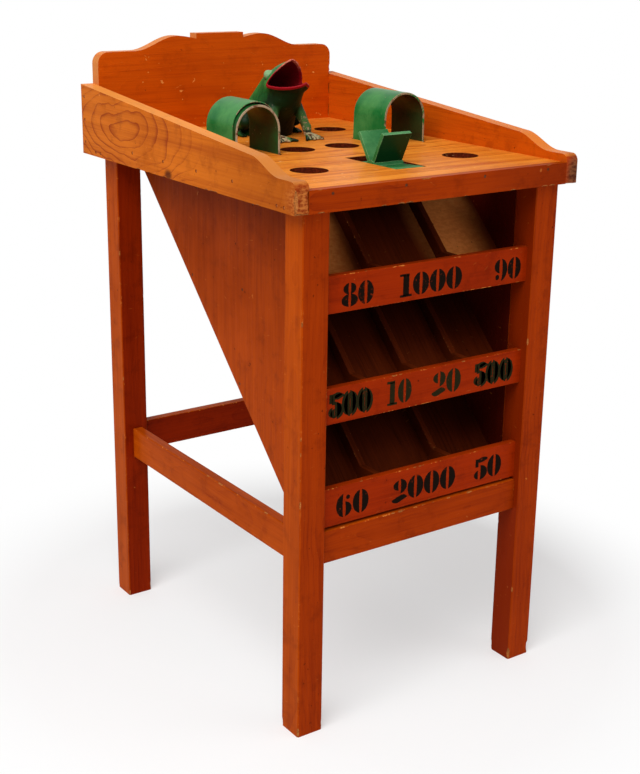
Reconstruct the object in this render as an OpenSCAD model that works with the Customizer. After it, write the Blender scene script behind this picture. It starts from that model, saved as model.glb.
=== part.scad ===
// Frog toss game: a wooden cabinet whose sloping trays catch the tokens that
// drop through the holes, the arches, the frog's mouth and the paddle wheel.
// The front is towards -Y, the floor is z = 0 and the game is centred on X and Y.

/* [Cabinet] */
// Width over the two side boards
game_w = 510; // [480:2:560]
// Depth from the fascia to the back board's rear face
game_d = 640; // [620:5:700]
// Height of the play surface above the floor
play_h = 828; // [800:2:880]
// Thickness of the side boards and of the back board
rail_t = 22; // [16:1:26]
// Thickness of the play board
board_t = 18; // [16:1:22]
// Thickness of the fascia
fascia_t = 14; // [10:1:20]
// Side of the square legs
leg_s = 44; // [38:1:48]
// Chamfer on the long edges of the legs
leg_ease = 1.5; // [0.5:0.5:3]
// How far the rear legs stand in front of the back board
rear_leg_inset = 13; // [5:1:25]
// How far the side boards and the fascia hang below the play surface
skirt_drop = 32; // [28:1:40]

/* [Side boards] */
// Rise of a side board's rear end above the play surface
rail_rear_rise = 82; // [60:1:110]
// Rise of a side board where its scroll starts
rail_front_rise = 34.5; // [26:0.5:50]
// Rise of a side board's nose
nose_rise = 12; // [8:1:18]
// Radius of the rounded nose
nose_r = 11; // [6:1:16]
// Distance from the front to where the scroll starts
scroll_start = 114; // [95:1:140]
// Distance from the front to where the scroll ends
scroll_end = 39; // [25:1:60]

/* [Back board] */
// Rise of the back board's tab above the play surface
tab_rise = 159.3; // [157:0.1:175]
// Width of the tab
tab_w = 94; // [60:1:120]
// Rise of the two crests
crest_rise = 156; // [150:1:156]
// Distance of a crest from the middle
crest_x = 85; // [75:1:100]
// Dip beside the tab below the crests
tab_dip = 5.5; // [2:0.5:10]
// Rise of the shoulders
shoulder_rise = 133.5; // [115:0.5:140]
// Length of a shoulder from the side board to its scroll
shoulder_w = 68; // [45:1:80]
// Radius of a shoulder's outer corner
shoulder_r = 19; // [8:1:30]

/* [Frame] */
// Thickness of the stretchers
stretcher_t = 17.5; // [12:0.5:22]
// Height of the side and rear stretchers
stretcher_h = 53; // [40:1:60]
// Height of the front stretcher
front_stretcher_h = 51; // [40:1:60]
// Floor to the underside of the side stretchers
side_stretcher_z = 267; // [200:1:268]
// Floor to the underside of the rear stretcher
rear_stretcher_z = 270; // [200:1:280]
// Gap between the side panels and the side stretchers
side_stretcher_gap = 0.5; // [0.5:0.5:6]
// Setback of the front stretcher from the legs' front faces
front_stretcher_set = 10; // [4:1:16]
// Setback of the rear stretcher from the legs' rear faces
rear_stretcher_set = 11; // [4:1:16]
// Thickness of the tenons
tenon_t = 8; // [5:1:10]
// Length of the tenons
tenon_l = 14; // [8:1:15]
// Height of the rear rail under the play board
rear_rail_h = 25; // [16:1:27]
// Thickness of the rear rail and of the battens
batten_t = 20; // [14:1:24]

/* [Trays] */
// Thickness of the side panels
panel_t = 10; // [6:1:12]
// Thickness of the chute boards and of the tray floors
chute_t = 12; // [8:1:15]
// Thickness of the number boards
number_t = 12; // [8:1:16]
// Setback of the number boards from the legs' front faces
number_set = 13.3; // [8:0.1:16]
// Depth of the housings that hold the number boards in the legs
housing_d = 5; // [3:1:10]
// Play surface down to the underside of the top number board
top_drop = 182; // [176:0.5:190]
// Play surface down to the underside of the middle number board
middle_drop = 345.5; // [335:0.5:352]
// Play surface down to the underside of the bottom number board
bottom_drop = 504; // [495:0.5:504]
// Height of the top and middle number boards
number_h = 54.5; // [46:0.5:60]
// Height of the bottom number board
bottom_number_h = 60; // [50:0.5:66]
// Distance from the number boards' rear to where the chutes reach their underside
tray_gap = 16.7; // [12:0.1:24]
// Rear legs forward to where the bottom chute's face meets the play board
chute_back_gap = 19; // [18:1:30]
// Height of the tray floors above the number boards' underside
floor_rise = 8; // [4:1:14]
// Thickness of the lane slats
slat_t = 10; // [6:1:14]
// Height of the lane slats, square to the chute
slat_h = 18; // [12:1:24]
// Top edge of the number boards down to the slats' raised front ends
slat_drop = 5; // [1:1:10]
// Distance of the outer slats from the middle, top and bottom trays
slat_x = 70; // [60:1:84]
// Side edge of the play board to the outer slats, middle tray
middle_slat_inset = 136; // [133:1:141]
// How far the panels hang below the bottom chute
panel_lip = 3; // [1:0.5:6]

/* [Targets] */
// Diameter of the holes for the tokens
hole_d = 56; // [44:1:60]
// Front edge of the play board to the front row of holes
front_row = 122; // [110:1:130]
// Front edge of the play board to the middle row of holes
middle_row = 297; // [285:1:305]
// Front edge of the play board to the rear row of holes
rear_row = 469; // [440:1:480]
// Side edge of the play board to the outer holes
outer_hole_inset = 92.5; // [84:0.5:98]
// Distance of the inner holes from the middle
inner_hole_x = 43; // [38:1:48]
// Side edge of the play board to the right arch's middle
right_arch_inset = 87; // [80:1:92]
// Side edge of the play board to the left arch's middle
left_arch_inset = 99; // [92:1:102]
// Front edge of the play board to the middle of the arches
arch_row = 310; // [300:1:316]
// Outer width of the arches
arch_w = 83; // [76:1:86]
// Height of the arches above the play surface
arch_h = 82; // [70:1:100]
// Depth of the arches
arch_l = 84; // [60:1:90]
// Wall of the right arch and of the left arch's liner
arch_t = 3.5; // [2:0.5:5]
// Wall of the left arch's cover
cover_t = 1.6; // [1:0.2:2.4]
// Gap between the left arch's cover and liner at the crown
crown_gap = 3; // [1:0.5:6]
// How far the liner stands out in front of its cover
liner_lead = 8; // [4:1:14]
// Length that the slots for the arches run on past the sheet
kerf_over = 5; // [2:1:8]

/* [Paddle wheel] */
// Radius of the paddle wheel
wheel_r = 58.5; // [52:0.5:60]
// Width of the vanes
vane_w = 52; // [44:1:58]
// Thickness of the vanes
vane_t = 6; // [4:0.5:8]
// Number of vanes
vanes = 6; // [4:1:8]
// Angle of the front vane above the horizontal at rest
vane_rest = 3.5; // [0:0.5:10]
// Diameter of the wheel's hub
hub_d = 22; // [18:1:28]
// Gap between the hub's ends and the bearing plates
hub_gap = 0.5; // [0.3:0.1:0.8]
// Gap between the vanes' sides and the slot's sides
vane_gap = 2; // [1.5:0.5:4]
// Gap between the vanes' tips and the slot's ends
tip_gap = 4.5; // [3:0.5:8]
// Front edge of the play board to the axle
axle_row = 128; // [122:1:132]
// Depth of the axle below the play surface
axle_drop = 6.6; // [6:0.1:9]
// Diameter of the axle
axle_d = 6; // [4:0.5:6.5]
// Radial clearance of the axle in its bearing plates
axle_fit = 0.05; // [0.02:0.01:0.1]
// How far the axle's ends stay inside the bearing plates
axle_end_gap = 0.3; // [0.1:0.1:0.8]
// Thickness of the bearing plates
bearing_t = 2; // [1.5:0.5:3]
// Length of the bearing plates
bearing_l = 30; // [24:1:40]
// Width of the bearing plates' flanges under the play board
flange_w = 18; // [14:1:24]
// Depth of the bearing plates' upper edge below the play surface
bearing_cover = 2; // [1:0.5:2.5]

/* [Frog] */
// Distance of the frog from the middle, to the right
frog_x = 11; // [0:1:14]
// Front edge of the play board to the middle of the frog's throat
throat_row = 466; // [440:1:480]
// Height of the frog
frog_h = 132; // [119:1:134]
// Diameter of the throat where it meets the play board
throat_d = 52; // [44:1:54]

/* [Fixings] */
// Diameter of the nails
nail_d = 2.6; // [2:0.1:3.2]
// Length of the nails
nail_l = 34; // [30:1:40]
// Edge of a board to the row of nails along it
nail_edge = 7; // [5:0.5:9]
// Ends of the side boards' rear edges to the first nail there
rear_nail_edge = 20; // [14:1:24]
// Side edge of the fascia to its outer nails
fascia_nail_inset = 38; // [25:1:50]
// Distance of the fascia's inner nails from the middle
fascia_nail_x = 71.5; // [50:0.5:100]
// Ends of a chute to the first nail through its side panel
chute_nail_inset = 26; // [20:1:40]
// Diameter of the screws' threaded part
screw_d = 3.4; // [3:0.1:4]
// Diameter of the screws' heads
screw_head_d = 7.5; // [6.5:0.5:8]
// Height of the screws' heads
screw_head_h = 2.4; // [1.5:0.1:3]
// Chamfer of the screws' heads
screw_head_ease = 0.7; // [0.3:0.1:1]
// Length of the screws below their heads in the frog's feet
foot_screw_l = 18; // [12:1:19]
// Length of the screws below their heads in the bearing plates
plate_screw_l = 13; // [8:1:14]
// Ends of the bearing plates to their screws
plate_screw_edge = 6; // [5:0.5:8]
// Radial clearance of nails and screws in their holes
pin_gap = 0.05; // [0.02:0.01:0.1]

/* [Hidden] */

$fn = 64;
limb_fn = 14;
toe_fn = 8;
LEFT = -1;
RIGHT = 1;
through = 1;

front_y = -game_d / 2;
back_y = game_d / 2;
board_y0 = front_y + fascia_t;
board_y1 = back_y - rail_t;
board_x = game_w / 2 - rail_t;
under_z = play_h - board_t;
skirt_z = play_h - skirt_drop;

inner_x = board_x - leg_s;
rear_leg_y0 = board_y1 - rear_leg_inset - leg_s;
front_leg_y1 = board_y0 + leg_s;

front_stretcher_y = board_y0 + front_stretcher_set;
rear_stretcher_y = rear_leg_y0 + leg_s - rear_stretcher_set - stretcher_t;
rear_rail_y = rear_leg_y0 + leg_s - rear_stretcher_set - batten_t;
side_stretcher_x = inner_x + panel_t + side_stretcher_gap;
tenon_edge = 6;

number_y0 = board_y0 + number_set;
number_y1 = number_y0 + number_t;
chute_y = number_y1 + tray_gap;
tray_z = [play_h - top_drop, play_h - middle_drop, play_h - bottom_drop];
front_stretcher_z = tray_z[2] + floor_rise - chute_t - front_stretcher_h;
number_hs = [number_h, number_h, bottom_number_h];
chute_slope = (under_z - tray_z[2]) / (rear_leg_y0 - chute_back_gap - chute_y);
chute_foot_y = chute_y + floor_rise / chute_slope;
skew = sqrt(1 + chute_slope * chute_slope);

hole_x = board_x - outer_hole_inset;
right_arch_x = board_x - right_arch_inset;
left_arch_x = left_arch_inset - board_x;
arch_y = board_y0 + arch_row;
arch_seat = 0.6;

slot_w = vane_w + 2 * vane_gap;
slot_l = 2 * (wheel_r + tip_gap);
axle_y = board_y0 + axle_row;
axle_z = play_h - axle_drop;
axle_l = slot_w + 2 * (bearing_t - axle_end_gap);
hub_l = slot_w - 2 * hub_gap;
plate_screw_x = slot_w / 2 + bearing_t + flange_w / 2;
plate_screw_dy = bearing_l / 2 - plate_screw_edge;

throat_y = board_y0 + throat_row;
foot_pad_d = 12;
foot_pad_h = 6;
screw_seat_gap = 0.5;
screw_seat_h = 8;

fascia_nail_xs = [fascia_nail_inset - board_x, -fascia_nail_x, fascia_nail_x, board_x - fascia_nail_inset];
board_nail_ys = [for (k = [1:4]) board_y0 + leg_s + k * (rear_leg_y0 - board_y0 - leg_s) / 5];
back_nail_zs = [
    for (k = [0:2])
        skirt_z + rear_nail_edge + k * (skirt_drop + rail_rear_rise - 2 * rear_nail_edge) / 2
];

middle_slat_x = board_x - middle_slat_inset;
slat_spots = [[-slat_x, slat_x], [-middle_slat_x, 0, middle_slat_x], [-slat_x, slat_x]];

// Stations of the frog's casting, each a front point [y, z], a side point [x, y, z] and a back
// point [y, z], from its base up to the lips: first the outer skin, then the hollow throat.
skin = [
    [[-47, 0], [46, 3, 0], [56, 0]],
    [[-51, 14], [48, 0, 14], [57, 14]],
    [[-62, 34], [43, -10, 36], [49, 40]],
    [[-77, 52], [36, -24, 56], [35, 62]],
    [[-87, 67], [31, -38, 72], [18, 84]],
    [[-95, 79], [32, -46, 84], [-2, 103]],
    [[-109, 87], [36, -51, 89], [-36, 121]],
    [[-117, 93], [37, -53, 93], [-71, 132]]
];
throat = [
    [[-throat_d / 2, -20], [throat_d / 2, 0, -20], [throat_d / 2, -20]],
    [[-throat_d / 2, 0], [throat_d / 2, 0, 0], [throat_d / 2, 0]],
    [[-40, 20], [28, -3, 22], [30, 26]],
    [[-65, 46], [27, -20, 52], [25, 58]],
    [[-83, 68], [26, -37, 73], [6, 85]],
    [[-100, 83], [30, -47, 87], [-36, 112]],
    [[-112, 92], [33, -53, 92.5], [-69, 127]],
    [[-113, 99], [34, -57, 97], [-75, 126]]
];
skin_ends = [[0, 4, 0], [0, -76, 97]];
throat_ends = [[0, 0, -20], [0, -82, 106]];
ring_n = 24;
steps = 2;
frog_k = frog_h / skin[len(skin) - 1][2][1];

// The frog's limbs, each from one point [x, y, z, radius] to another.
front_leg_bone = [[27, -52, 60, 12], [34, -64, 14, 6.5]];
front_toe_root = [34, -67, 8, 5.5];
front_toe_tips = [for (x = [9, 25, 41]) [x, -103, 2.6, 2.6]];
thigh_bone = [[42, 30, 30, 20], [50, -8, 25, 12]];
hind_bones = [[[50, -8, 20, 8], [48, 34, 8, 8]], [[48, 34, 6, 6], [56, -4, 4, 4]]];
eye = [22, -34, 106, 10];
foot_spots = [[27, -86], [54, 8]];

// Points along an S-shaped scroll from p to q, level at both ends.
function scroll(p, q, n = 14) =
    [for (i = [0:n]) [p[0] + (q[0] - p[0]) * i / n, p[1] + (q[1] - p[1]) * (1 - cos(180 * i / n)) / 2]];

// Points on an arc about c.
function arc(c, r, a0, a1, n = 8) =
    [for (i = [0:n]) let (a = a0 + (a1 - a0) * i / n) [c[0] + r * cos(a), c[1] + r * sin(a)]];

function flip(points) = [for (i = [len(points) - 1:-1:0]) [-points[i][0], points[i][1]]];

// Height of a chute's upper face at y.
function chute_z(i, y) = tray_z[i] + (y - chute_y) * chute_slope;

// Place where a chute's upper face is at height z.
function chute_at(i, z) = chute_y + (z - tray_z[i]) / chute_slope;

// Places of the nails that hold a chute's edge in its side panel.
function nail_ys(i) =
    let (low = chute_foot_y + chute_nail_inset, high = chute_at(i, under_z) - chute_nail_inset)
    [for (k = [0:i + 1]) low + k * (high - low) / (i + 1)];

// A smooth value through the list v at place t.
function smooth(v, t) =
    let (
        last = len(v) - 1,
        i = min(floor(t), last - 1),
        u = t - i,
        a = v[max(i - 1, 0)],
        b = v[i],
        c = v[i + 1],
        d = v[min(i + 2, last)]
    )
    0.5 * (2 * b + (c - a) * u + (2 * a - 5 * b + 4 * c - d) * u * u + (3 * b - a - 3 * c + d) * u * u * u);

// The ring of points at place t between the stations of a skin.
function ring(stations, t) =
    let (
        f = smooth([for (s = stations) s[0]], t),
        m = smooth([for (s = stations) s[1]], t),
        b = smooth([for (s = stations) s[2]], t)
    )
    [
        for (k = [0:ring_n - 1])
            let (a = 360 * k / ring_n, c = cos(a), e = c > 0 ? f : b)
                [m[0] * sin(a), m[1] + abs(c) * (e[0] - m[1]), m[2] + abs(c) * (e[1] - m[2])]
    ];

module box(x0, x1, y0, y1, z0, z1) {
    translate([x0, y0, z0])
        cube([x1 - x0, y1 - y0, z1 - z0]);
}

// Extrudes an outline drawn in Y and Z along X.
module along_x(x0, x1) {
    translate([x0, 0, 0])
        rotate([90, 0, 90])
            linear_extrude(x1 - x0)
                children();
}

// Extrudes an outline drawn in X and Z along Y.
module along_y(y0, y1) {
    translate([0, y1, 0])
        rotate([90, 0, 0])
            linear_extrude(y1 - y0)
                children();
}

// Puts a piece drawn on the right on either side.
module on_side(side) {
    if (side == LEFT)
        mirror([1, 0, 0])
            children();
    else
        children();
}

module leg_bar(y0) {
    e = leg_ease;
    w = leg_s;
    translate([inner_x, y0, 0])
        linear_extrude(under_z)
            polygon([[e, 0], [w - e, 0], [w, e], [w, w - e], [w - e, w], [e, w], [0, w - e], [0, e]]);
}

module side_tenons() {
    x0 = side_stretcher_x + (stretcher_t - tenon_t) / 2;
    z0 = side_stretcher_z;
    box(
        x0, x0 + tenon_t, front_leg_y1 - tenon_l, rear_leg_y0 + tenon_l,
        z0 + tenon_edge, z0 + stretcher_h - tenon_edge
    );
}

module end_tenons(y, z, h) {
    x1 = inner_x + tenon_l;
    y0 = y + (stretcher_t - tenon_t) / 2;
    box(-x1, x1, y0, y0 + tenon_t, z + tenon_edge, z + h - tenon_edge);
}

module front_tenons() {
    end_tenons(front_stretcher_y, front_stretcher_z, front_stretcher_h);
}

module rear_tenons() {
    end_tenons(rear_stretcher_y, rear_stretcher_z, stretcher_h);
}

module number_blank(i) {
    x1 = inner_x + housing_d;
    box(-x1, x1, number_y0, number_y1, tray_z[i], tray_z[i] + number_hs[i]);
}

module front_leg(side) {
    color("#9c3a0c")
        on_side(side)
            difference() {
                leg_bar(board_y0);
                side_tenons();
                front_tenons();
                for (i = [0:2])
                    number_blank(i);
                leg_nail_holes();
            }
}

module rear_leg(side) {
    color("#9c3a0c")
        on_side(side)
            difference() {
                leg_bar(rear_leg_y0);
                side_tenons();
                rear_tenons();
                leg_nail_holes();
            }
}

module side_stretcher(side) {
    x0 = side_stretcher_x;
    z0 = side_stretcher_z;
    color("#b0480c")
        on_side(side)
            union() {
                box(x0, x0 + stretcher_t, front_leg_y1, rear_leg_y0, z0, z0 + stretcher_h);
                side_tenons();
            }
}

module end_stretcher(y, z, h) {
    box(-inner_x, inner_x, y, y + stretcher_t, z, z + h);
}

module front_stretcher() {
    color("#a84410")
        union() {
            end_stretcher(front_stretcher_y, front_stretcher_z, front_stretcher_h);
            front_tenons();
        }
}

module rear_stretcher() {
    color("#a84410")
        union() {
            end_stretcher(rear_stretcher_y, rear_stretcher_z, stretcher_h);
            rear_tenons();
        }
}

module rear_rail() {
    color("#a84410")
        box(-inner_x, inner_x, rear_rail_y, rear_rail_y + batten_t, under_z - rear_rail_h, under_z);
}

module front_batten() {
    color("#a84410")
        box(-inner_x, inner_x, board_y0, board_y0 + batten_t, skirt_z, under_z);
}

module side_batten(side) {
    color("#a84410")
        on_side(side)
            box(inner_x + panel_t, board_x, front_leg_y1, rear_leg_y0, skirt_z, under_z);
}

// A side panel's outline in Y and Z, which ends at the rear leg.
module panel_outline() {
    drop = chute_t * skew + panel_lip;
    intersection() {
        polygon([
            [front_leg_y1, chute_z(2, front_leg_y1) - drop],
            [chute_at(2, under_z + drop), under_z],
            [front_leg_y1, under_z]
        ]);
        translate([front_leg_y1, 0])
            square([rear_leg_y0 - front_leg_y1, under_z]);
    }
}

module side_panel(side) {
    color("#a8500c")
        on_side(side)
            difference() {
                along_x(inner_x, inner_x + panel_t)
                    panel_outline();
                for (i = [0:2])
                    panel_nail_holes(i);
            }
}

module arch_outline(w, h, t, foot) {
    r = w / 2;
    difference() {
        union() {
            translate([0, play_h + h - r])
                circle(r);
            translate([-r, foot])
                square([w, play_h + h - r - foot]);
        }
        translate([0, play_h + h - r])
            circle(r - t);
        translate([-r + t, foot - through])
            square([w - 2 * t, play_h + h - r - foot + through]);
    }
}

// The two slots that an arch of width w and wall t stands in.
module arch_slots(x, w, t) {
    y0 = arch_y - arch_l / 2 - kerf_over;
    y1 = arch_y + arch_l / 2 + kerf_over;
    for (s = [LEFT, RIGHT])
        translate([x, 0, 0])
            on_side(s)
                box(w / 2 - t, w / 2 + arch_seat, y0, y1, under_z - through, play_h + through);
}

module token_hole(x, y, d) {
    translate([x, y, under_z - through])
        cylinder(d = d, h = board_t + 2 * through);
}

module bearing_outline(side) {
    x0 = slot_w / 2;
    x1 = x0 + bearing_t;
    y1 = bearing_l / 2;
    z0 = under_z - bearing_t;
    on_side(side)
        translate([0, axle_y, 0])
            union() {
                box(x0, x1, -y1, y1, z0, play_h - bearing_cover);
                box(x0, x1 + flange_w, -y1, y1, z0, under_z);
            }
}

module wheel_slot() {
    x1 = slot_w / 2;
    box(-x1, x1, axle_y - slot_l / 2, axle_y + slot_l / 2, under_z - through, play_h + through);
}

module play_board() {
    color("#d2823c")
        difference() {
            box(-board_x, board_x, board_y0, board_y1, under_z, play_h);
            for (s = [LEFT, RIGHT]) {
                token_hole(s * hole_x, board_y0 + front_row, hole_d);
                token_hole(s * inner_hole_x, board_y0 + middle_row, hole_d);
                token_hole(s * hole_x, board_y0 + rear_row, hole_d);
            }
            token_hole(left_arch_x, arch_y, hole_d);
            token_hole(right_arch_x, arch_y, hole_d);
            token_hole(frog_x, throat_y, hole_d);
            wheel_slot();
            for (s = [LEFT, RIGHT])
                bearing_outline(s);
            arch_slots(right_arch_x, arch_w, arch_t);
            arch_slots(left_arch_x, arch_w, arch_t + cover_t);
            fascia_nail_holes();
            for (s = [LEFT, RIGHT])
                on_side(s)
                    edge_nail_holes();
            frog_screw_holes();
            plate_screw_holes();
        }
}

module front_fascia() {
    color("#9c3408")
        difference() {
            box(-board_x, board_x, front_y, board_y0, skirt_z, play_h);
            fascia_nail_holes();
        }
}

module side_board(side) {
    high = [front_y + scroll_start, play_h + rail_front_rise];
    low = [front_y + scroll_end, play_h + nose_rise];
    outline = concat(
        [[front_y, skirt_z], [back_y, skirt_z], [back_y, play_h + rail_rear_rise]],
        scroll(high, low),
        arc([front_y + nose_r, play_h + nose_rise - nose_r], nose_r, 90, 180)
    );
    color("#b85c0c")
        on_side(side)
            difference() {
                along_x(board_x, board_x + rail_t)
                    polygon(outline);
                edge_nail_holes();
                leg_nail_holes();
                back_nail_holes();
            }
}

module back_board() {
    foot = play_h + crest_rise - tab_dip;
    half = concat(
        [[tab_w / 2, play_h + tab_rise]],
        [
            for (i = [0:8])
                [tab_w / 2 + (crest_x - tab_w / 2) * i / 8, foot + tab_dip * sin(90 * i / 8)]
        ],
        scroll([crest_x, play_h + crest_rise], [board_x - shoulder_w, play_h + shoulder_rise]),
        arc([board_x - shoulder_r, play_h + shoulder_rise - shoulder_r], shoulder_r, 90, 0),
        [[board_x, skirt_z]]
    );
    color("#b0420a")
        difference() {
            along_y(board_y1, back_y)
                polygon(concat(half, flip(half)));
            for (s = [LEFT, RIGHT])
                on_side(s)
                    back_nail_holes();
        }
}

module number_board(i) {
    color("#9c3408")
        number_blank(i);
}

module chute(i) {
    y0 = chute_foot_y;
    y1 = chute_at(i, under_z);
    drop = chute_t * skew;
    color("#8a5a28")
        difference() {
            along_x(-inner_x, inner_x)
                polygon([
                    [y0, chute_z(i, y0)], [y1, under_z],
                    [y1 + drop / chute_slope, under_z], [y0, chute_z(i, y0) - drop]
                ]);
            for (s = [LEFT, RIGHT])
                on_side(s)
                    panel_nail_holes(i);
        }
}

module tray_floor(i) {
    top = tray_z[i] + floor_rise;
    color("#8a5a28")
        box(-inner_x, inner_x, number_y1, chute_foot_y, top - chute_t, top);
}

module slat(i, x) {
    top = tray_z[i] + floor_rise;
    stop = tray_z[i] + number_hs[i] - slat_drop;
    y1 = chute_at(i, under_z);
    ahead = slat_h * skew / chute_slope;
    color("#a0682c")
        along_x(x - slat_t / 2, x + slat_t / 2)
            polygon([
                [number_y1, top], [chute_foot_y, top], [y1, under_z], [y1 - ahead, under_z],
                [chute_at(i, stop) - ahead, stop], [number_y1, stop]
            ]);
}

module arch_right() {
    color("#2a8c48")
        translate([right_arch_x, 0, 0])
            along_y(arch_y - arch_l / 2, arch_y + arch_l / 2)
                arch_outline(arch_w, arch_h, arch_t, under_z);
}

module arch_left_cover() {
    color("#2a8c48")
        translate([left_arch_x, 0, 0])
            along_y(arch_y - arch_l / 2 + liner_lead, arch_y + arch_l / 2)
                arch_outline(arch_w, arch_h, cover_t, under_z);
}

module arch_left_liner() {
    w = arch_w - 2 * cover_t;
    color("#5a6a3c")
        translate([left_arch_x, 0, 0])
            along_y(arch_y - arch_l / 2, arch_y + arch_l / 2)
                arch_outline(w, arch_h - cover_t - crown_gap, arch_t, under_z);
}

module ball(p, fn = limb_fn) {
    translate([p[0], p[1], p[2]])
        sphere(r = p[3], $fn = fn);
}

// A tapering limb between two points [x, y, z, radius].
module limb(ends, fn = limb_fn) {
    hull()
        for (p = ends)
            ball(p, fn);
}

// A closed solid through the stations, with a point in the middle of each end.
module loft(stations, tips) {
    rings = [for (k = [0:steps * (len(stations) - 1)]) ring(stations, k / steps)];
    n = len(rings);
    low_i = n * ring_n;
    sides = [
        for (i = [0:n - 2], k = [0:ring_n - 1])
            let (j = (k + 1) % ring_n, a = i * ring_n, b = a + ring_n)
                each [[a + k, b + k, b + j], [a + k, b + j, a + j]]
    ];
    ends = [
        for (k = [0:ring_n - 1])
            let (j = (k + 1) % ring_n, b = (n - 1) * ring_n)
                each [[low_i, k, j], [low_i + 1, b + j, b + k]]
    ];
    polyhedron(concat([for (r = rings) each r], tips), concat(sides, ends), convexity = 8);
}

module frog_limbs() {
    limb(front_leg_bone);
    for (tip = front_toe_tips)
        limb([front_toe_root, tip], toe_fn);
    limb(thigh_bone);
    for (bone = hind_bones)
        limb(bone, toe_fn);
    ball(eye);
}

module frog() {
    color("#1e7a38")
        difference() {
            union() {
                translate([frog_x, throat_y, play_h])
                    scale(frog_k)
                        difference() {
                            union() {
                                loft(skin, skin_ends);
                                for (s = [LEFT, RIGHT])
                                    on_side(s)
                                        frog_limbs();
                            }
                            loft(throat, throat_ends);
                        }
                at_foot_screws()
                    translate([0, 0, -foot_pad_h])
                        cylinder(d = foot_pad_d, h = foot_pad_h);
            }
            frog_screw_holes();
        }
}

module screw(l) {
    rotate_extrude()
        polygon([
            [0, -l], [screw_d / 2, -l], [screw_d / 2, 0], [screw_head_d / 2, 0],
            [screw_head_d / 2, screw_head_h - screw_head_ease],
            [screw_head_d / 2 - screw_head_ease, screw_head_h], [0, screw_head_h]
        ]);
}

// Places of the frog's screws, at the top of each foot's pad.
module at_foot_screws() {
    for (s = [LEFT, RIGHT], p = foot_spots)
        translate([frog_x + s * frog_k * p[0], throat_y + frog_k * p[1], play_h + foot_pad_h])
            children();
}

// Holes for the frog's screws, with a flat above each foot for the head.
module frog_screw_holes() {
    at_foot_screws() {
        translate([0, 0, -foot_screw_l - pin_gap])
            cylinder(d = screw_d + 2 * pin_gap, h = foot_screw_l + 2 * pin_gap);
        cylinder(d = screw_head_d + 2 * screw_seat_gap, h = screw_seat_h);
    }
}

module frog_screws() {
    color("#8a8478")
        at_foot_screws()
            screw(foot_screw_l);
}

module at_plate_screws() {
    for (s = [LEFT, RIGHT], t = [LEFT, RIGHT])
        translate([s * plate_screw_x, axle_y + t * plate_screw_dy, under_z - bearing_t])
            rotate([180, 0, 0])
                children();
}

module plate_screw_holes() {
    at_plate_screws()
        translate([0, 0, -plate_screw_l - pin_gap])
            cylinder(d = screw_d + 2 * pin_gap, h = plate_screw_l + 2 * pin_gap);
}

module bearing_plate(side) {
    color("#70706c")
        difference() {
            bearing_outline(side);
            translate([-axle_l, axle_y, axle_z])
                rotate([0, 90, 0])
                    cylinder(d = axle_d + 2 * axle_fit, h = 2 * axle_l);
            plate_screw_holes();
        }
}

module bearing_screws() {
    color("#8a8478")
        at_plate_screws()
            screw(plate_screw_l);
}

module paddle_wheel() {
    color("#1c6c34")
        translate([0, axle_y, axle_z])
            difference() {
                union() {
                    rotate([0, 90, 0])
                        cylinder(d = hub_d, h = hub_l, center = true);
                    for (k = [0:vanes - 1])
                        rotate([vane_rest + 360 * k / vanes, 0, 0])
                            box(-vane_w / 2, vane_w / 2, 0, wheel_r, -vane_t / 2, vane_t / 2);
                }
                rotate([0, 90, 0])
                    cylinder(d = axle_d, h = 2 * hub_l, center = true);
            }
}

module wheel_axle() {
    color("#70706c")
        translate([-axle_l / 2, axle_y, axle_z])
            rotate([0, 90, 0])
                cylinder(d = axle_d, h = axle_l);
}

// Nails point along -X into the right-hand side, or along +Y into the front.
module nail_x(x, y, z, l, d) {
    translate([x, y, z])
        rotate([0, -90, 0])
            cylinder(d = d, h = l, $fn = 24);
}

module nail_y(x, y, z, l, d) {
    translate([x, y, z])
        rotate([-90, 0, 0])
            cylinder(d = d, h = l, $fn = 24);
}

module fascia_nails_at(d, l) {
    for (x = fascia_nail_xs)
        nail_y(x, front_y, play_h - nail_edge, l, d);
}

module edge_nails_at(d, l) {
    for (y = board_nail_ys)
        nail_x(game_w / 2, y, play_h - board_t / 2, l, d);
}

module leg_nails_at(d, l) {
    for (y = [board_y0 + leg_s / 2, rear_leg_y0 + leg_s / 2], dy = [-leg_s / 5, leg_s / 5])
        nail_x(game_w / 2, y + dy, under_z - nail_edge, l, d);
}

module back_nails_at(d, l) {
    for (z = back_nail_zs)
        nail_x(game_w / 2, back_y - rail_t / 2, z, l, d);
}

module panel_nails_at(i, d, l) {
    for (y = nail_ys(i))
        nail_x(inner_x + panel_t, y, chute_z(i, y) - chute_t * skew / 2, l, d);
}

module fascia_nail_holes() {
    fascia_nails_at(nail_d + 2 * pin_gap, nail_l + pin_gap);
}

module edge_nail_holes() {
    edge_nails_at(nail_d + 2 * pin_gap, nail_l + pin_gap);
}

module leg_nail_holes() {
    leg_nails_at(nail_d + 2 * pin_gap, nail_l + pin_gap);
}

module back_nail_holes() {
    back_nails_at(nail_d + 2 * pin_gap, nail_l + pin_gap);
}

module panel_nail_holes(i) {
    panel_nails_at(i, nail_d + 2 * pin_gap, nail_l + pin_gap);
}

module fascia_nails() {
    color("#4a2a18")
        fascia_nails_at(nail_d, nail_l);
}

module side_board_nails() {
    color("#4a2a18")
        for (s = [LEFT, RIGHT])
            on_side(s) {
                edge_nails_at(nail_d, nail_l);
                leg_nails_at(nail_d, nail_l);
                back_nails_at(nail_d, nail_l);
            }
}

module panel_nails() {
    color("#4a2a18")
        for (s = [LEFT, RIGHT], i = [0:2])
            on_side(s)
                panel_nails_at(i, nail_d, nail_l);
}

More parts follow.
